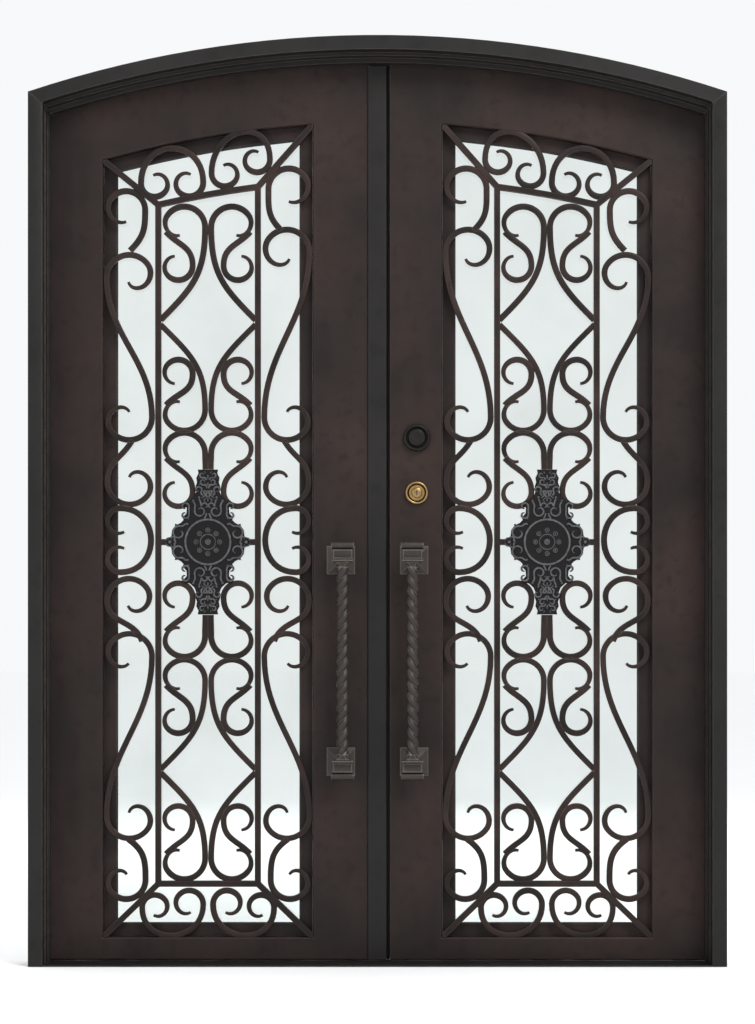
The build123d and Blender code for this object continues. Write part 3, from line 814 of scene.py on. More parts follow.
def medallion_iron():
    """Cast iron, black on its ground, with a grey painted highlight where the relief stands proud and
    painted shade that takes it back in the hollows.
    """
    look = Finish("Cast iron")
    along_y = look.add("ShaderNodeSeparateXYZ", {"Vector": look.place}).outputs["Y"]
    # Painted highlight: the parts that stand nearest the street are made lighter, less so where ambient
    # occlusion paints shade
    high = look.level(along_y, MEDALLION_HIGH[1] - 3.0 * MM, MEDALLION_LOW[1] + 0.4 * MM)
    grain = look.noise(110.0, 6.0)
    unshaded_share = look.level(look.shade_from_hollows(5 * MM), 0.45, 0.95, 0.25, 1.0)
    proud_highlight = look.maths("MULTIPLY", look.maths("POWER", high, 1.3), unshaded_share)
    proud_highlight = look.maths("MULTIPLY", proud_highlight, look.level(grain, 0.3, 0.7, 0.45, 1.0))
    # Grey painted highlight over the black ground
    colour = look.blend(proud_highlight, (0.006, 0.006, 0.0065), (0.105, 0.101, 0.106))
    normal = look.bump(look.noise(500.0, 4.0), 0.5, 0.4 * MM)
    rough = look.level(grain, 0.3, 0.7, 0.42, 0.6)
    return look.finish(Base_Color=colour, Roughness=rough, Normal=normal, Specular_IOR_Level=0.14)


def pull_iron():
    """Aged grey brown iron, paler on its edges where hands rub it and where a highlight is painted, and
    dark with painted shade deep in the twist.
    """
    look = Finish("Rubbed iron")
    base = colours().pull
    unshaded_share = look.level(look.shade_from_hollows(16 * MM), 0.5, 1.0)
    grain = look.noise(60.0, 6.0)
    stain = look.level(look.noise(9.0, 5.0), 0.42, 0.66)
    # Painted shade: darker deep in the grooves of the twist and other hollows
    colour = look.blend(unshaded_share, [c * 0.12 for c in base], base)
    colour = look.blend(look.maths("MULTIPLY", stain, 0.5), colour, [c * 0.55 for c in base])
    colour = look.blend(look.level(grain, 0.55, 0.75, 0.0, 0.6), colour, (0.06, 0.048, 0.04))
    # Edges made paler: partly rubbed wear, partly a painted highlight on the ridges
    rubbed_and_highlit = look.maths("MULTIPLY", look.edges(3.5 * MM, 0.95), 0.9)
    colour = look.blend(rubbed_and_highlit, colour, (0.15, 0.128, 0.11))
    rough = look.level(grain, 0.3, 0.7, 0.34, 0.56)
    normal = look.bump(look.noise(420.0, 4.0), 0.3, 0.3 * MM)
    return look.finish(Base_Color=colour, Roughness=rough, Normal=normal, Specular_IOR_Level=0.32)


def brass():
    """Satin brass with fine turning marks, a little tarnish, and painted shade in its recesses."""
    look = Finish("Satin brass")
    tarnish = look.level(look.noise(70.0, 5.0), 0.45, 0.75, 0.0, 0.5)
    colour = look.blend(tarnish, colours().brass, (0.17, 0.11, 0.045))
    # Painted shade: darker in the recesses
    colour = look.blend(look.level(look.shade_from_hollows(5 * MM), 0.9, 0.5), colour, (0.09, 0.058, 0.025))
    rough = look.level(look.noise(240.0, 3.0), 0.3, 0.7, 0.24, 0.4)
    normal = look.bump(look.noise(900.0, 2.0), 0.15, 0.1 * MM)
    return look.finish(Base_Color=colour, Roughness=rough, Normal=normal, Metallic=1.0)


def lock_bronze():
    """Oiled bronze, nearly black, with a warm rub on its edges that is partly a painted highlight, and near
    black painted shade in its grooves.
    """
    look = Finish("Oiled bronze")
    cloud = look.level(look.noise(45.0, 5.0), 0.35, 0.7)
    colour = look.blend(cloud, (0.007, 0.006, 0.0052), (0.014, 0.0118, 0.0105))
    # Edges made warmer and lighter: partly rubbed wear, partly a painted highlight
    rubbed_and_highlit = look.maths("MULTIPLY", look.edges(1.5 * MM), 0.3)
    colour = look.blend(rubbed_and_highlit, colour, (0.04, 0.031, 0.026))
    # Painted shade: near black deep in the grooves
    colour = look.blend(look.level(look.shade_from_hollows(9 * MM), 0.85, 0.4), colour, (0.001, 0.001, 0.001))
    normal = look.bump(look.noise(600.0, 3.0), 0.2, 0.2 * MM)
    rough = look.level(cloud, 0.0, 1.0, 0.34, 0.5)
    return look.finish(Base_Color=colour, Roughness=rough, Normal=normal, Specular_IOR_Level=0.14)


def rubber():
    look = Finish("Black rubber")
    dust = look.level(look.noise(40.0, 5.0), 0.45, 0.75, 0.0, 0.5)
    colour = look.blend(dust, (0.008, 0.008, 0.008), (0.03, 0.029, 0.028))
    normal = look.bump(look.noise(500.0, 2.0, (1, 1, 0.2)), 0.3, 0.2 * MM)
    rough = look.level(dust, 0.0, 0.5, 0.6, 0.8)
    return look.finish(Base_Color=colour, Roughness=rough, Normal=normal)


def glass():
    """Clear glass with a faint grey tint and a trace of dust."""
    look = Finish("Clear glass")
    dust = look.level(look.noise(6.0, 6.0), 0.4, 0.8)
    colour = look.blend(dust, (0.84, 0.89, 0.87), (0.76, 0.81, 0.79))
    rough = look.level(dust, 0.0, 1.0, 0.0, 0.03)
    return look.finish(Base_Color=colour, Roughness=rough, Transmission_Weight=1.0, IOR=1.45)


FINISHES = {
    "frame_iron": frame_iron,
    "leaf_iron": leaf_iron,
    "grille_iron": grille_iron,
    "medallion_iron": medallion_iron,
    "pull_iron": pull_iron,
    "brass": brass,
    "lock_bronze": lock_bronze,
    "hinge_steel": hinge_steel,
    "rubber": rubber,
    "glass": glass,
}
made = {}


def material(slot):
    """The finish of a slot, made once."""
    if slot not in made:
        made[slot] = FINISHES[slot]()
    return made[slot]


def paint(node, slot):
    """Gives a CAD node that stays in view its finish."""
    thing = frame["nodes"][node]
    thing.data.materials.clear()
    thing.data.materials.append(material(slot))


# Measures of the medallions, the pulls, the locks and the hinges, in millimetres

PLATE_THICK = 2.4
PLATE_EDGE = (
    (106, 0), (104, 9), (97, 16), (95, 32), (86, 44), (72, 51), (65, 58), (66, 66), (57, 76), (56, 90),
    (65, 100), (62, 107), (48, 110), (36, 121), (31, 133), (33, 147), (29, 158), (31, 170), (25, 182),
    (27, 192),
)
CURL_WIDTH, CURL_DEPTH, CURL_EDGE, CURL_TIP = 6.2, 5.6, 2.7, 14.0
PETAL_REACH, PETAL_FOOT = 31.0, 3.0

# Turned forms: radius and distance from the face behind
RING_PROFILE = (
    (62.0, 0.0), (62.4, 4.4), (61.8, 5.6), (60.4, 6.0), (58.4, 6.0), (57.2, 5.4), (56.6, 3.4),
    (54.0, 3.0), (40.0, 2.7), (24.0, 3.0), (22.4, 3.4), (21.6, 4.6), (20.4, 5.2), (19.0, 4.8),
    (18.0, 3.4), (16.5, 2.7), (9.2, 2.6), (8.6, 4.0), (7.4, 5.2), (5.0, 5.5), (4.0, 4.8),
    (3.0, 5.2), (1.4, 5.9), (0.3, 6.0),
)
PETAL_PROFILE = (
    (7.2, -0.6), (7.2, 1.0), (6.6, 2.0), (5.6, 2.2), (4.6, 1.6), (3.6, 0.8), (2.6, 1.6), (1.6, 2.2),
    (0.3, 2.4),
)
CYLINDER_PROFILE = (
    (30.5, 0), (30.5, 8.0), (30.1, 9.8), (29.2, 11.2), (27.8, 12.0), (26.4, 12.0), (25.2, 11.4),
    (24.6, 9.4), (24.2, 6.0), (23.2, 5.4), (22.2, 5.8), (21.4, 8.0), (20.4, 8.8), (15.4, 9.0),
    (14.4, 8.6), (13.6, 8.2), (12.8, 8.6), (12.4, 9.8), (12.1, 11.2), (11.3, 11.7), (0.4, 11.7),
)
DEADBOLT_PROFILE = (
    (36.0, 0), (36.0, 8.4), (35.4, 10.8), (34.0, 12.8), (32.2, 13.9), (30.4, 14.0), (29.2, 13.2),
    (28.6, 11.6), (28.6, 3.0), (28.2, 2.4), (22.8, 2.4), (22.4, 3.0), (22.2, 11.2), (21.4, 12.9),
    (19.6, 13.7), (0.4, 14.0),
)
TURN_PROFILE = ((30.2, 0), (30.2, 2.6), (29.6, 4.2), (27.8, 5.2), (18.0, 5.8), (9.0, 6.0), (0.4, 6.0))
SCREW_PROFILE = ((4.2, -0.3), (4.2, 1.1), (3.6, 1.9), (2.2, 2.0), (2.0, 0.7), (0.2, 0.6))
PIN_PROFILE = ((0.3, -60), (5.2, -60), (6.0, -59), (6.0, 59), (5.2, 60), (0.3, 60))

# The grip of a thumb turn: distance from the face, half width, half height
TURN_GRIP = (
    (5, 5, 9), (9, 4.6, 12), (13, 5, 19), (17, 5.8, 22.4), (21, 5.6, 22.8), (23.4, 4.2, 21.6),
    (24, 2.4, 19.6),
)
KEYHOLE_ROUND, KEYHOLE_RISE, KEYHOLE_SLOT, KEYHOLE_FOOT = 2.3, 3.2, 1.1, 6.5
KEYHOLE_FROM, KEYHOLE_TO = 11.0, 11.95

# The pulls, measured along them from the middle of the grip
TWIST_REACH, POST_REACH, ROLL_REACH = 247.0, 267.0, 303.0
TWIST_RINGS = 180.0
GROOVE_SHARE = 0.32
GRIP_OFF_LEAF = 62.0
PULL_Z = (PULL_LOW[2] + PULL_HIGH[2]) / 2
PULL_X = (PULL_LOW[0] + PULL_HIGH[0]) / 2 - 3 * MM
GRIP_Y = LEAF_FRONT - GRIP_OFF_LEAF * MM
ROSE_X = (ROSE_LOW[0] + ROSE_HIGH[0]) / 2 + 2 * MM
ROSE_SIDE = (ROSE_HIGH[0] - ROSE_LOW[0]) / MM - 4
NECK = (
    # distance along, width, front and back from the grip's axis, cut corner
    (238, 21, -10, 11, 5.0),
    (252, 24, -10.5, 12, 5.0),
    (257, 30, -11, 11, 4.5),
    (259.5, 46, -12, 9, 3.5),
    (260.5, 54, -15.5, 8, 3.0),
    (262.5, 56, -18, 7.5, 3.0),
    (265.5, 56, -18, 7, 3.0),
    (267.5, 55, -15, 6.5, 2.5),
    (268.8, 52, -5, 6, 1.5),
    (271, 50, -3, 6, 1.0),
    (284, 50, -3, 6, 1.0),
    (292, 52, -4, 8, 1.0),
)
ROLL_RADIUS, ROLL_THICK, ROLL_CLOSING, ROLL_BACK = 12.0, 2.6, 6.5, 6.0
ROLL_STEPS, ROLL_STEP = 34, 15.0
ROLL_SECTIONS = ((-30, 0.9), (-28.6, 0.98), (-26, 1.0), (26, 1.0), (28.6, 0.98), (30, 0.9))
POST = ((11, 27), (15, 22), (GRIP_OFF_LEAF - 12, 21), (GRIP_OFF_LEAF, 20))
ROSE = ((0.0, 1.0), (1.4, 1.0), (2.2, 0.98), (4.6, 0.80), (7.8, 0.60), (11.2, 0.42), (12.9, 0.34))

# The hinges and clamps: heights above the floor, and the ends of each barrel from its middle
BARREL_RADIUS, BORE_RADIUS = 13.0, 6.2
HINGE_X = HINGE_LOW[0] + BARREL_RADIUS * MM
HINGE_Y = HINGE_HIGH[1] - BARREL_RADIUS * MM
HINGE_HEIGHTS = (300.0, 1150.0, 2000.0)
HINGE_FIXED = ((-60, -20), (20, 60))
HINGE_MOVING = ((-19, 19),)
WING_THICK, SCREW_INSET = 5.0, (6.0, 9.0)
WING_EDGE = ((0.0, 0.0), (WING_THICK - 0.9, 0.0), (WING_THICK - 0.2, 0.4), (WING_THICK, 1.0))
CLAMP_HEIGHTS = (330.0, 1130.0, 1930.0)
CLAMP_LONG, CLAMP_TALL, CLAMP_THICK = 58.0, 16.0, 4.6
CLAMP_EDGE = ((0.0, 0.0), (3.4, 0.0), (4.2, 0.4), (CLAMP_THICK, 1.2))

# The studio
CAMERA_HEIGHT = 0.85
CAMERA_DISTANCE = 7.6
PICTURE_METRES = 1024 * 2.615 * MM
PICTURE_MIDDLE = 1.19
FLOOR_REACH = 75.0
DAYLIGHT = (0.965, 0.975, 0.985, 1)
LAMPS = (
    # name, place, aim, size, power
    ("key light", (2.6, -4.5, 6.0), (0, 0, 1.3), 2.6, 330),
    ("fill light", (-4.5, -5.0, 2.6), (0, 0, 1.0), 3.0, 60),
    ("back light", (0.5, 5.5, 4.5), (0, 0, 1.4), 4.0, 120),
)


# Operators


class DoorOperator:
    bl_options = {"REGISTER", "UNDO"}


class IRONDOOR_OT_frame(DoorOperator, bpy.types.Operator):
    """Soften the welded jambs, head and threshold, and colour the seal"""

    bl_idname = "irondoor.frame"
    bl_label = "Welded frame"

    def execute(self, context):
        for node in ("jamb_left", "jamb_right", "header_arch"):
            softened(f"{node}_iron", "frame", "frame_iron", node)
        softened("threshold_plate", "frame", "frame_iron", "threshold", width=0.8 * MM)
        paint("frame_seal", "rubber")
        return {"FINISHED"}


class IRONDOOR_OT_leaves(DoorOperator, bpy.types.Operator):
    """Weld the members of each leaf, and soften its sash and the meeting strip"""

    bl_idname = "irondoor.leaves"
    bl_label = "Leaves"

    def execute(self, context):
        for side, _ in SIDES:
            weld_leaf(side)
            softened(f"grille_frame_{side}", f"leaf_{side}", "grille_iron", f"grille_bars_{side}")
            paint(f"glass_{side}", "glass")
        softened("meeting_strip", "leaf_left", "frame_iron", "astragal", width=0.6 * MM)
        return {"FINISHED"}


def weld_leaf(side):
    """The stiles and rails of a leaf as one ring, and the sash ring in its opening."""
    body = f"leaf_{side}"
    members = [f"{m}_{side}" for m in ("hinge_stile", "top_rail", "meeting_stile", "bottom_rail")]
    stiles = [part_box(members[0]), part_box(members[2])]
    x_low = min(low[0] for low, _ in stiles)
    x_high = max(high[0] for _, high in stiles)
    leaf = (x_low, x_high, stiles[0][0][2], LEAF_RADIUS)
    low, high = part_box(f"sash_frame_{side}")
    opening = (low[0], high[0], low[2], OPENING_RADIUS)
    depth = (LEAF_FRONT, LEAF_BACK)
    name = f"leaf_ring_{side}"
    welded_ring(name, body, "leaf_iron", leaf, opening, depth, *members, ease=OPENING_EASE)
    sash, daylight = shrunk(opening, FIT), shrunk(opening, SASH_FACE)
    depth = (low[1], high[1])
    welded_ring(f"sash_{side}", body, "leaf_iron", sash, daylight, depth, f"sash_frame_{side}")


class IRONDOOR_OT_scrolls(DoorOperator, bpy.types.Operator):
    """Forge the scrolls of both grilles as smooth bars drawn out at their tips"""

    bl_idname = "irondoor.scrolls"
    bl_label = "Scrolls"

    def execute(self, context):
        tree = bar_along_lines()
        bar = {
            "Width": sizes().scroll_width,
            "Depth": sizes().scroll_depth,
            "Edge": 2.2 * MM,
            "Y": (SCROLL_LOW[1] + SCROLL_HIGH[1]) / 2,
            "Material": material("grille_iron"),
        }
        for side, way in SIDES:
            for node, scrolls in grille_groups().items():
                mesh = cooked(tree, line_mesh(scrolls, way), **bar)
                piece(f"forged_{node}_{side}", mesh, f"leaf_{side}", "grille_iron", f"{node}_{side}")
        return {"FINISHED"}


class IRONDOOR_OT_medallions(DoorOperator, bpy.types.Operator):
    """Cast both medallions: a plate with lobed edges, a turned ring with petals, curls and bosses"""

    bl_idname = "irondoor.medallions"
    bl_label = "Medallions"

    def execute(self, context):
        tree = bar_along_lines()
        back = MEDALLION_HIGH[1]
        plate_front = back - PLATE_THICK * MM
        centre = Vector((LEAF_X, 0, MEDALLION_Z))
        bar = {
            "Width": CURL_WIDTH * MM,
            "Depth": CURL_DEPTH * MM,
            "Edge": CURL_EDGE * MM,
            "Y": plate_front - 0.5 * MM,
            "Material": material("medallion_iron"),
        }
        for side, way in SIDES:
            curls = cooked(tree, line_mesh(all_curls(), way, MEDALLION_Z, CURL_TIP * MM), **bar)
            shape = bmesh.new()
            medallion_plate(shape, centre, back, plate_front)
            lathe(shape, centre + Vector((0, back, 0)), STREET, RING_PROFILE, steps=72)
            medallion_bosses(shape, centre, plate_front)
            cast = to_mesh(on_leaf(outwards(shape), way), "cast")
            petals = medallion_petals(centre + Vector((0, back - PETAL_FOOT * MM, 0)), way)
            whole = to_mesh(joined(cast, curls, petals), f"medallion_{side}")
            name = f"cast_medallion_{side}"
            piece(name, whole, f"leaf_{side}", "medallion_iron", f"medallion_{side}")
        return {"FINISHED"}


def all_curls():
    quarter = SIDE_CURLS + FAN_CURLS
    half = quarter + list(flipped(quarter))
    return half + list(flipped(half, upside_down=True))


def medallion_plate(shape, centre, back, front):
    """The tapering plate behind the ornament, with soft lobes along its edge."""
    outline = list(PLATE_EDGE)
    outline += [(-x, z) for x, z in PLATE_EDGE[::-1]]
    outline += [(-x, -z) for x, z in PLATE_EDGE[1:]]
    outline += [(x, -z) for x, z in PLATE_EDGE[:0:-1]]
    loops = []
    for share, y in ((1.0, back), (1.0, front + 0.7 * MM), (0.97, front)):
        loops.append([centre + Vector((x * share * MM, y, z * MM)) for x, z in outline])
    rings(shape, loops)


def medallion_bosses(shape, centre, y):
    """The bosses of one quarter, and their mirror images in the other three."""
    for x, z, reach_x, reach_z, height, turn in BOSSES:
        for flip_x in {1, -1} if x else {1}:
            for flip_z in {1, -1} if z else {1}:
                spot = centre + Vector((flip_x * x * MM, y, flip_z * z * MM))
                reach = (reach_x * MM, reach_z * MM, height * MM)
                dome(shape, spot, *reach, flip_x * flip_z * turn)


def medallion_petals(centre, way):
    """Small ringed petals round the dish."""
    petal = bmesh.new()
    lathe(petal, (0, 0, 0), STREET, PETAL_PROFILE, steps=16)
    count = sizes().petals
    spots = []
    for i in range(count):
        spot = pointing(360 * i / count) * PETAL_REACH * MM
        spots.append(((centre.x + spot.x) * way, centre.y, centre.z + spot.y))
    return copies(petal, spots, "medallion_iron", turn=2 * pi / count)


class IRONDOOR_OT_pulls(DoorOperator, bpy.types.Operator):
    """Twist the pulls, forge their ends, and set them on their roses on both faces"""

    bl_idname = "irondoor.pulls"
    bl_label = "Pulls"

    def execute(self, context):
        tree = twisted_bar()
        for side, way in SIDES:
            body = f"leaf_{side}"
            ends, plates = bmesh.new(), bmesh.new()
            for end in (-1, 1):
                pull_end(ends, end)
                rose(plates, end)
            ends = to_mesh(on_leaf(outwards(ends), way), "ends")
            pull = to_mesh(joined(twisted_grip(tree, way), ends), f"pull_{side}")
            inside = to_mesh(indoors(pull), f"pull_inside_{side}")
            piece(f"forged_pull_{side}", pull, body, "pull_iron", f"pull_bar_{side}")
            name = f"forged_pull_inside_{side}"
            piece(name, inside, body, "pull_iron", f"pull_bar_inside_{side}")
            outer = to_mesh(on_leaf(outwards(plates), way), "roses")
            inner = to_mesh(indoors(outer), "inner")
            both = to_mesh(joined(outer, inner), f"roses_{side}", sharp=12)
            piece(f"forged_roses_{side}", both, body, "pull_iron", f"pull_roses_{side}")
        return {"FINISHED"}


def twisted_grip(tree, way):
    """The twisted bar of one pull. The two leaves' bars turn in opposite directions."""
    forged = sizes()
    reach = TWIST_REACH * MM
    line = bpy.data.meshes.new("line")
    ends = [(way * PULL_X, GRIP_Y, PULL_Z + end * reach) for end in (-1, 1)]
    line.from_pydata(ends, [(0, 1)], [])
    return cooked(
        tree,
        line,
        Lobe=forged.grip_width / 2,
        Groove=forged.grip_width * GROOVE_SHARE,
        Lobes=float(forged.strands),
        Turn=-way * 2 * pi * 2 * reach / forged.twist_lead,
        Rings=TWIST_RINGS,
        Material=material("pull_iron"),
    )


def pull_end(shape, end):
    """The beaten neck with its lip, the roll at the end, and the post behind them."""
    loops = []
    for along, width, front, back, corner in NECK:
        spot = (PULL_X, GRIP_Y + (front + back) / 2 * MM, PULL_Z + end * along * MM)
        size = (width * MM, (back - front) * MM, corner * MM)
        loops.append(rectangle(spot, ACROSS, HOUSE, *size))
    rings(shape, loops)
    loops = []
    for x, share in ROLL_SECTIONS:
        loop = []
        for radius, turned in roll_outline():
            y = GRIP_Y + (ROLL_BACK + radius * share * cos(turned)) * MM
            z = PULL_Z + end * (ROLL_REACH + radius * share * sin(turned)) * MM
            loop.append(Vector((PULL_X + x * MM, y, z)))
        loops.append(loop)
    rings(shape, loops)
    spot = ((PULL_X + ROSE_X) / 2, LEAF_FRONT, PULL_Z + end * POST_REACH * MM)
    stacked(shape, spot, STREET, [(along, side, side, 3.0) for along, side in POST])


def roll_outline():
    """The closed outline of a strip rolled up on itself: radius and angle."""
    outer = []
    for i in range(ROLL_STEPS):
        closing = ROLL_CLOSING * i / (ROLL_STEPS - 1)
        outer.append((ROLL_RADIUS - closing, radians(i * ROLL_STEP)))
    return outer + [(radius - ROLL_THICK, turned) for radius, turned in outer[::-1]]


def rose(shape, end):
    """A square plate that rises to a shallow pyramid with four clear ridges."""
    spot = (ROSE_X, LEAF_FRONT, PULL_Z + end * POST_REACH * MM)
    rows = [(along, ROSE_SIDE * share, ROSE_SIDE * share, 1.2) for along, share in ROSE]
    stacked(shape, spot, STREET, rows)


class IRONDOOR_OT_locks(DoorOperator, bpy.types.Operator):
    """Turn the deadbolt rose, the brass cylinder and the thumb turns"""

    bl_idname = "irondoor.locks"
    bl_label = "Locks"

    def execute(self, context):
        x = (CYLINDER_LOW[0] + CYLINDER_HIGH[0]) / 2
        low_z = (CYLINDER_LOW[2] + CYLINDER_HIGH[2]) / 2
        high_z = (DEADBOLT_LOW[2] + DEADBOLT_HIGH[2]) / 2
        turned = (
            ("brass_cylinder", low_z, "brass", "lock_cylinder", CYLINDER_PROFILE),
            ("deadbolt_barrel", high_z, "lock_bronze", "deadbolt_rose", DEADBOLT_PROFILE),
        )
        for name, z, slot, node, profile in turned:
            shape = bmesh.new()
            lathe(shape, (x, LEAF_FRONT, z), STREET, profile, steps=72)
            piece(name, to_mesh(outwards(shape), name), "leaf_right", slot, node)
        shape = bmesh.new()
        # A dark sheet that paints the shade inside the keyhole
        keyhole(shape, x, low_z)
        piece("keyhole", to_mesh(outwards(shape), "keyhole"), "leaf_right", "rubber")
        shape = bmesh.new()
        for z in (low_z, high_z):
            thumb_turn(shape, x, z)
        name = "thumb_turn_pair"
        piece(name, to_mesh(outwards(shape), name), "leaf_right", "lock_bronze", "thumb_turns")
        return {"FINISHED"}


def keyhole(shape, x, z):
    """A dark sheet in the shape of a keyhole, a hair proud of the cylinder's plug, that paints the shade of
    the hole.
    """
    outline = []
    for i in range(13):
        spot = pointing(-60 + 300 * i / 12) * KEYHOLE_ROUND
        outline.append((spot.x, spot.y + KEYHOLE_RISE))
    outline += [(-KEYHOLE_SLOT, -KEYHOLE_FOOT), (KEYHOLE_SLOT, -KEYHOLE_FOOT)]
    loops = []
    for along in (KEYHOLE_FROM, KEYHOLE_TO):
        y = LEAF_FRONT - along * MM
        loops.append([Vector((x + u * MM, y, z + w * MM)) for u, w in outline])
    rings(shape, loops)


def thumb_turn(shape, x, z):
    """A turned rose with an oval grip, on the inner face of the leaf."""
    lathe(shape, (x, LEAF_BACK, z), HOUSE, TURN_PROFILE, steps=56)
    loops = []
    for along, wide, tall in TURN_GRIP:
        loop = []
        for i in range(32):
            spot = pointing(360 * i / 32) * MM
            loop.append(Vector((x + spot.x * wide, LEAF_BACK + along * MM, z + spot.y * tall)))
        loops.append(loop)
    rings(shape, loops)


class IRONDOOR_OT_hinges(DoorOperator, bpy.types.Operator):
    """Turn the hinge barrels, and screw on their wings and the sash clamps"""

    bl_idname = "irondoor.hinges"
    bl_label = "Hinges and clamps"

    def execute(self, context):
        for side, way in SIDES:
            hinge_part(side, way, "frame", "hinge_barrels", HINGE_FIXED, 1)
            hinge_part(side, way, f"leaf_{side}", "hinge_knuckles", HINGE_MOVING, -1)
            clamp_part(side, way)
        return {"FINISHED"}


def hinge_part(side, way, body, node, barrels, outward):
    """The knuckles of one side's hinges that ride on one body, with their wings and screws."""
    low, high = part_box(f"{node}_right")
    far = high[0] if outward > 0 else low[0]
    inset, from_end = SCREW_INSET
    shape = bmesh.new()
    spots = []
    for middle in HINGE_HEIGHTS:
        for z_from, z_to in barrels:
            barrel(shape, middle + z_from, middle + z_to)
            spot = ((HINGE_X + far) / 2, LEAF_BACK, (middle + (z_from + z_to) / 2) * MM)
            plate(shape, spot, abs(far - HINGE_X) / MM, z_to - z_from, 1.5, WING_EDGE)
            for z in (middle + z_from + from_end, middle + z_to - from_end):
                spots.append((far - outward * inset * MM, LEAF_BACK + WING_THICK * MM, z * MM))
        if outward > 0:
            lathe(shape, (HINGE_X, HINGE_Y, middle * MM), UP, PIN_PROFILE, steps=32)
    screwed_on(f"turned_{node}_{side}", shape, spots, way, body, f"{node}_{side}")


def clamp_part(side, way):
    """Small turned plates, each held by a screw, that keep the glazed sash in its opening."""
    shape = bmesh.new()
    spots = []
    half = CLAMP_LONG / 2 * MM
    for z in CLAMP_HEIGHTS:
        for x in (CLAMP_LOW[0] + half, CLAMP_HIGH[0] - half):
            plate(shape, (x, LEAF_BACK, z * MM), CLAMP_LONG, CLAMP_TALL, 4.5, CLAMP_EDGE)
            spots.append((x, LEAF_BACK + CLAMP_THICK * MM, z * MM))
    name = f"turn_clamps_{side}"
    screwed_on(name, shape, spots, way, f"leaf_{side}", f"sash_clamps_{side}")


def barrel(shape, z_low, z_high):
    """A turned knuckle with eased rims and a fine groove near each end."""
    rim, tall = BARREL_RADIUS, z_high - z_low
    groove = rim - 0.5
    lower = ((BORE_RADIUS, 0), (rim - 1, 0), (rim, 1), (rim, 3.2), (groove, 3.7), (groove, 4.3), (rim, 4.8))
    upper = [(radius, tall - along) for radius, along in lower[::-1]]
    lathe(shape, (HINGE_X, HINGE_Y, z_low * MM), UP, [*lower, *upper], steps=40)


def plate(shape, spot, wide, tall, corner, edge):
    """A plate that lies flat on the inner face of the leaf, with eased edges."""
    rows = [(y, wide - 2 * ease, tall - 2 * ease, corner) for y, ease in edge]
    stacked(shape, spot, HOUSE, rows)


def screwed_on(name, shape, spots, way, body, node):
    """Adds steel parts with a cap screw on each spot."""
    screw = bmesh.new()
    lathe(screw, (0, 0, 0), HOUSE, SCREW_PROFILE, steps=12)
    screws = copies(screw, [(x * way, y, z) for x, y, z in spots], "hinge_steel")
    solid = to_mesh(on_leaf(outwards(shape), way), "solid")
    piece(name, to_mesh(joined(solid, screws), name), body, "hinge_steel", node)


class IRONDOOR_OT_seals(DoorOperator, bpy.types.Operator):
    """Run the rubber beads, the sweeps under the leaves and the seal at the meeting edge"""

    bl_idname = "irondoor.seals"
    bl_label = "Seals"

    def execute(self, context):
        tree = bar_along_lines()
        for side, way in SIDES:
            body = f"leaf_{side}"
            name = f"glazing_beads_{side}"
            piece(name, to_mesh(glazing_beads(tree, way), name), body, "rubber")
            name = f"bottom_sweep_{side}"
            piece(name, to_mesh(outwards(bottom_sweep(side, way)), name), body, "rubber")
        seal = to_mesh(outwards(meeting_seal()), "meeting_seal")
        piece("meeting_seal", seal, "leaf_left", "rubber")
        return {"FINISHED"}


def glazing_beads(tree, way):
    """A rubber bead round the pane on each of its faces."""
    bead = {"Width": 9 * MM, "Depth": 5 * MM, "Edge": 1.6 * MM, "Material": material("rubber")}
    beads = []
    for y in (PANE_LOW[1] - 1.5 * MM, PANE_HIGH[1] + 1.5 * MM):
        beads.append(cooked(tree, pane_line(way), Y=y, **bead))
    return joined(*beads)


def pane_line(way):
    """A closed line round the edge of a pane, as edges with their taper."""
    low, high = PANE_LOW, PANE_HIGH
    corners = [v.co for v in frame["nodes"]["glass_left"].data.vertices]
    arch = sorted({(round(p.x, 5), round(p.z, 5)) for p in corners if p.z > (low[2] + high[2]) / 2})
    place = [Vector((-way * x, z, 0)) for x, z in [(low[0], low[2]), *arch, (high[0], low[2])]]
    count = len(place)
    mesh = bpy.data.meshes.new("pane line")
    mesh.from_pydata(place, [(i, (i + 1) % count) for i in range(count)], [])
    mesh.attributes.new("taper", "FLOAT", "POINT").data.foreach_set("value", [1.0] * count)
    return mesh


def bottom_sweep(side, way):
    """The flexible strip that closes the gap above the threshold."""
    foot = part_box(f"bottom_rail_{side}")[0][2] / MM
    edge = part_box("hinge_stile_right")[1][0] - 4 * MM
    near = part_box("meeting_stile_right")[0][0] if way > 0 else -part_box("astragal")[1][0]
    near += 0.1 * MM
    shape = bmesh.new()
    rows = [(foot + 2, 12), (foot, 12), (5.6, 9), (4.8, 5)]
    long = (edge - near) / MM
    spot = (way * (edge + near) / 2, LEAF_MIDDLE, 0)
    stacked(shape, spot, UP, [(z, long, thick, 0) for z, thick in rows])
    return shape


def meeting_seal():
    """The seal in the gap between the meeting strip and the right leaf."""
    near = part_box("astragal")[1][0]
    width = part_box("meeting_stile_right")[0][0] - near - 0.06 * MM
    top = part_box("meeting_stile_left")[1][2] / MM - 6
    shape = bmesh.new()
    spot = (near + width / 2, LEAF_MIDDLE + 8 * MM, 0)
    stacked(shape, spot, UP, [(z, width / MM, 10, 1.5) for z in (5.0, top)])
    return shape


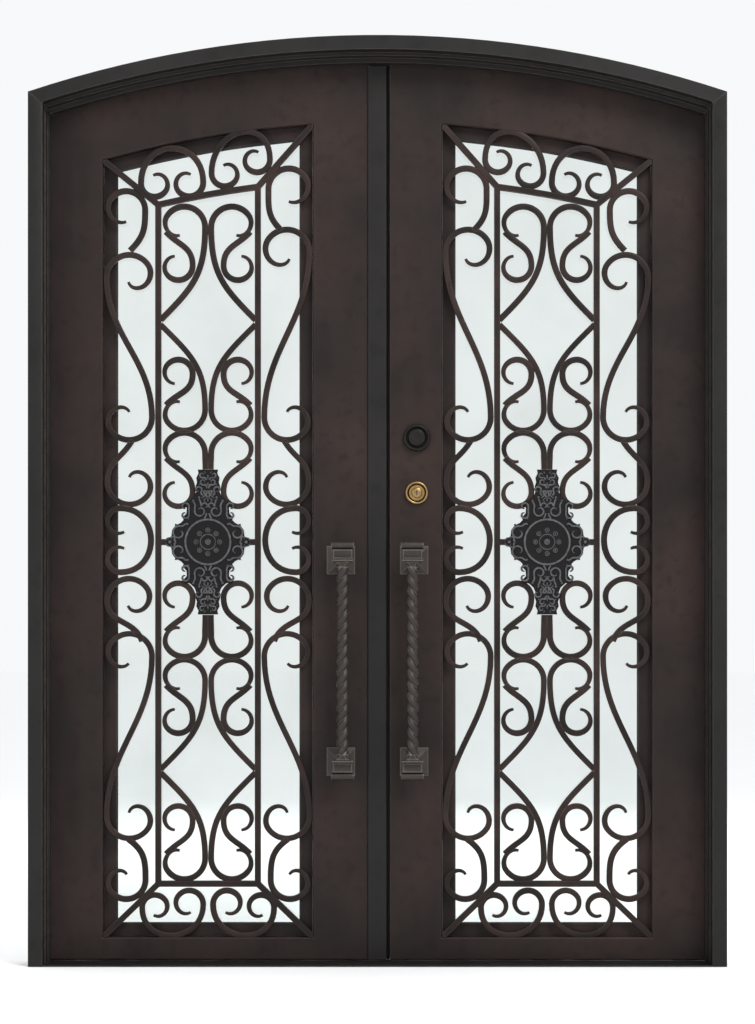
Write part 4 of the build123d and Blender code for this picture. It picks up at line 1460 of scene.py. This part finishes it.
class IRONDOOR_OT_stage(DoorOperator, bpy.types.Operator):
    """Set up the pale floor, the soft studio light and the camera"""

    bl_idname = "irondoor.stage"
    bl_label = "Studio"

    def execute(self, context):
        scene = context.scene
        scene.collection.objects.link(pale_floor())
        world = bpy.data.worlds.new("studio")
        world.use_nodes = True
        sky = world.node_tree.nodes["Background"].inputs
        sky["Color"].default_value = DAYLIGHT
        sky["Strength"].default_value = 0.97
        scene.world = world
        for lamp in LAMPS:
            scene.collection.objects.link(soft_lamp(*lamp))
        scene.camera = camera()
        scene.collection.objects.link(scene.camera)
        scene.view_settings.view_transform = "Standard"
        return {"FINISHED"}


def pale_floor():
    shape = bmesh.new()
    bmesh.ops.create_grid(shape, x_segments=1, y_segments=1, size=FLOOR_REACH)
    floor = bpy.data.objects.new("floor", to_mesh(shape, "floor"))
    look = Finish("Pale floor")
    shade = look.level(look.noise(1.5, 4.0), 0.3, 0.7)
    colour = look.blend(shade, (0.97, 0.972, 0.975), (0.985, 0.987, 0.99))
    floor.data.materials.append(look.finish(Base_Color=colour, Roughness=0.85))
    return floor


def soft_lamp(name, spot, aim, size, power):
    lamp = bpy.data.lights.new(name, "AREA")
    lamp.energy = power
    lamp.size = size
    light = bpy.data.objects.new(name, lamp)
    light.location = spot
    light.rotation_euler = (Vector(aim) - Vector(spot)).to_track_quat("-Z", "Y").to_euler()
    light.visible_camera = light.visible_transmission = False
    return light


def camera():
    """A level camera in front of the door. Its small shift frames the door as in the picture."""
    lens = bpy.data.cameras.new("camera")
    lens.sensor_fit = "VERTICAL"
    lens.sensor_height = 36.0
    lens.lens = lens.sensor_height * CAMERA_DISTANCE / PICTURE_METRES
    lens.shift_y = (PICTURE_MIDDLE - CAMERA_HEIGHT) / PICTURE_METRES
    lens.clip_end = 400
    viewer = bpy.data.objects.new("camera", lens)
    viewer.location = (0, CAD_BOX[0][1] - CAMERA_DISTANCE, CAMERA_HEIGHT)
    viewer.rotation_euler = (radians(90), 0, 0)
    return viewer


OPERATORS = (
    IRONDOOR_OT_frame,
    IRONDOOR_OT_leaves,
    IRONDOOR_OT_scrolls,
    IRONDOOR_OT_medallions,
    IRONDOOR_OT_pulls,
    IRONDOOR_OT_locks,
    IRONDOOR_OT_hinges,
    IRONDOOR_OT_seals,
    IRONDOOR_OT_stage,
)


class IRONDOOR_PT_sidebar(bpy.types.Panel):
    """Lists the steps that finish the door, with its sizes and colours"""

    bl_idname = "IRONDOOR_PT_sidebar"
    bl_label = "Wrought iron entry door"
    bl_space_type = "VIEW_3D"
    bl_region_type = "UI"
    bl_category = "Iron Door"

    def draw(self, context):
        for step in OPERATORS:
            self.layout.operator(step.bl_idname)
        for group in (context.scene.iron_door_sizes, context.scene.iron_door_colours):
            for name in group.bl_rna.properties.keys():
                if name not in ("rna_type", "name"):
                    self.layout.prop(group, name)


CLASSES = (IronDoorSizes, IronDoorColours, *OPERATORS, IRONDOOR_PT_sidebar)


def register():
    for each in CLASSES:
        bpy.utils.register_class(each)
    bpy.types.Scene.iron_door_sizes = PointerProperty(type=IronDoorSizes)
    bpy.types.Scene.iron_door_colours = PointerProperty(type=IronDoorColours)


def unregister():
    del bpy.types.Scene.iron_door_colours
    del bpy.types.Scene.iron_door_sizes
    for each in reversed(CLASSES):
        bpy.utils.unregister_class(each)


def main():
    register()
    for step in OPERATORS:
        group, name = step.bl_idname.split(".")
        getattr(getattr(bpy.ops, group), name)()


if __name__ == "__main__":
    main()
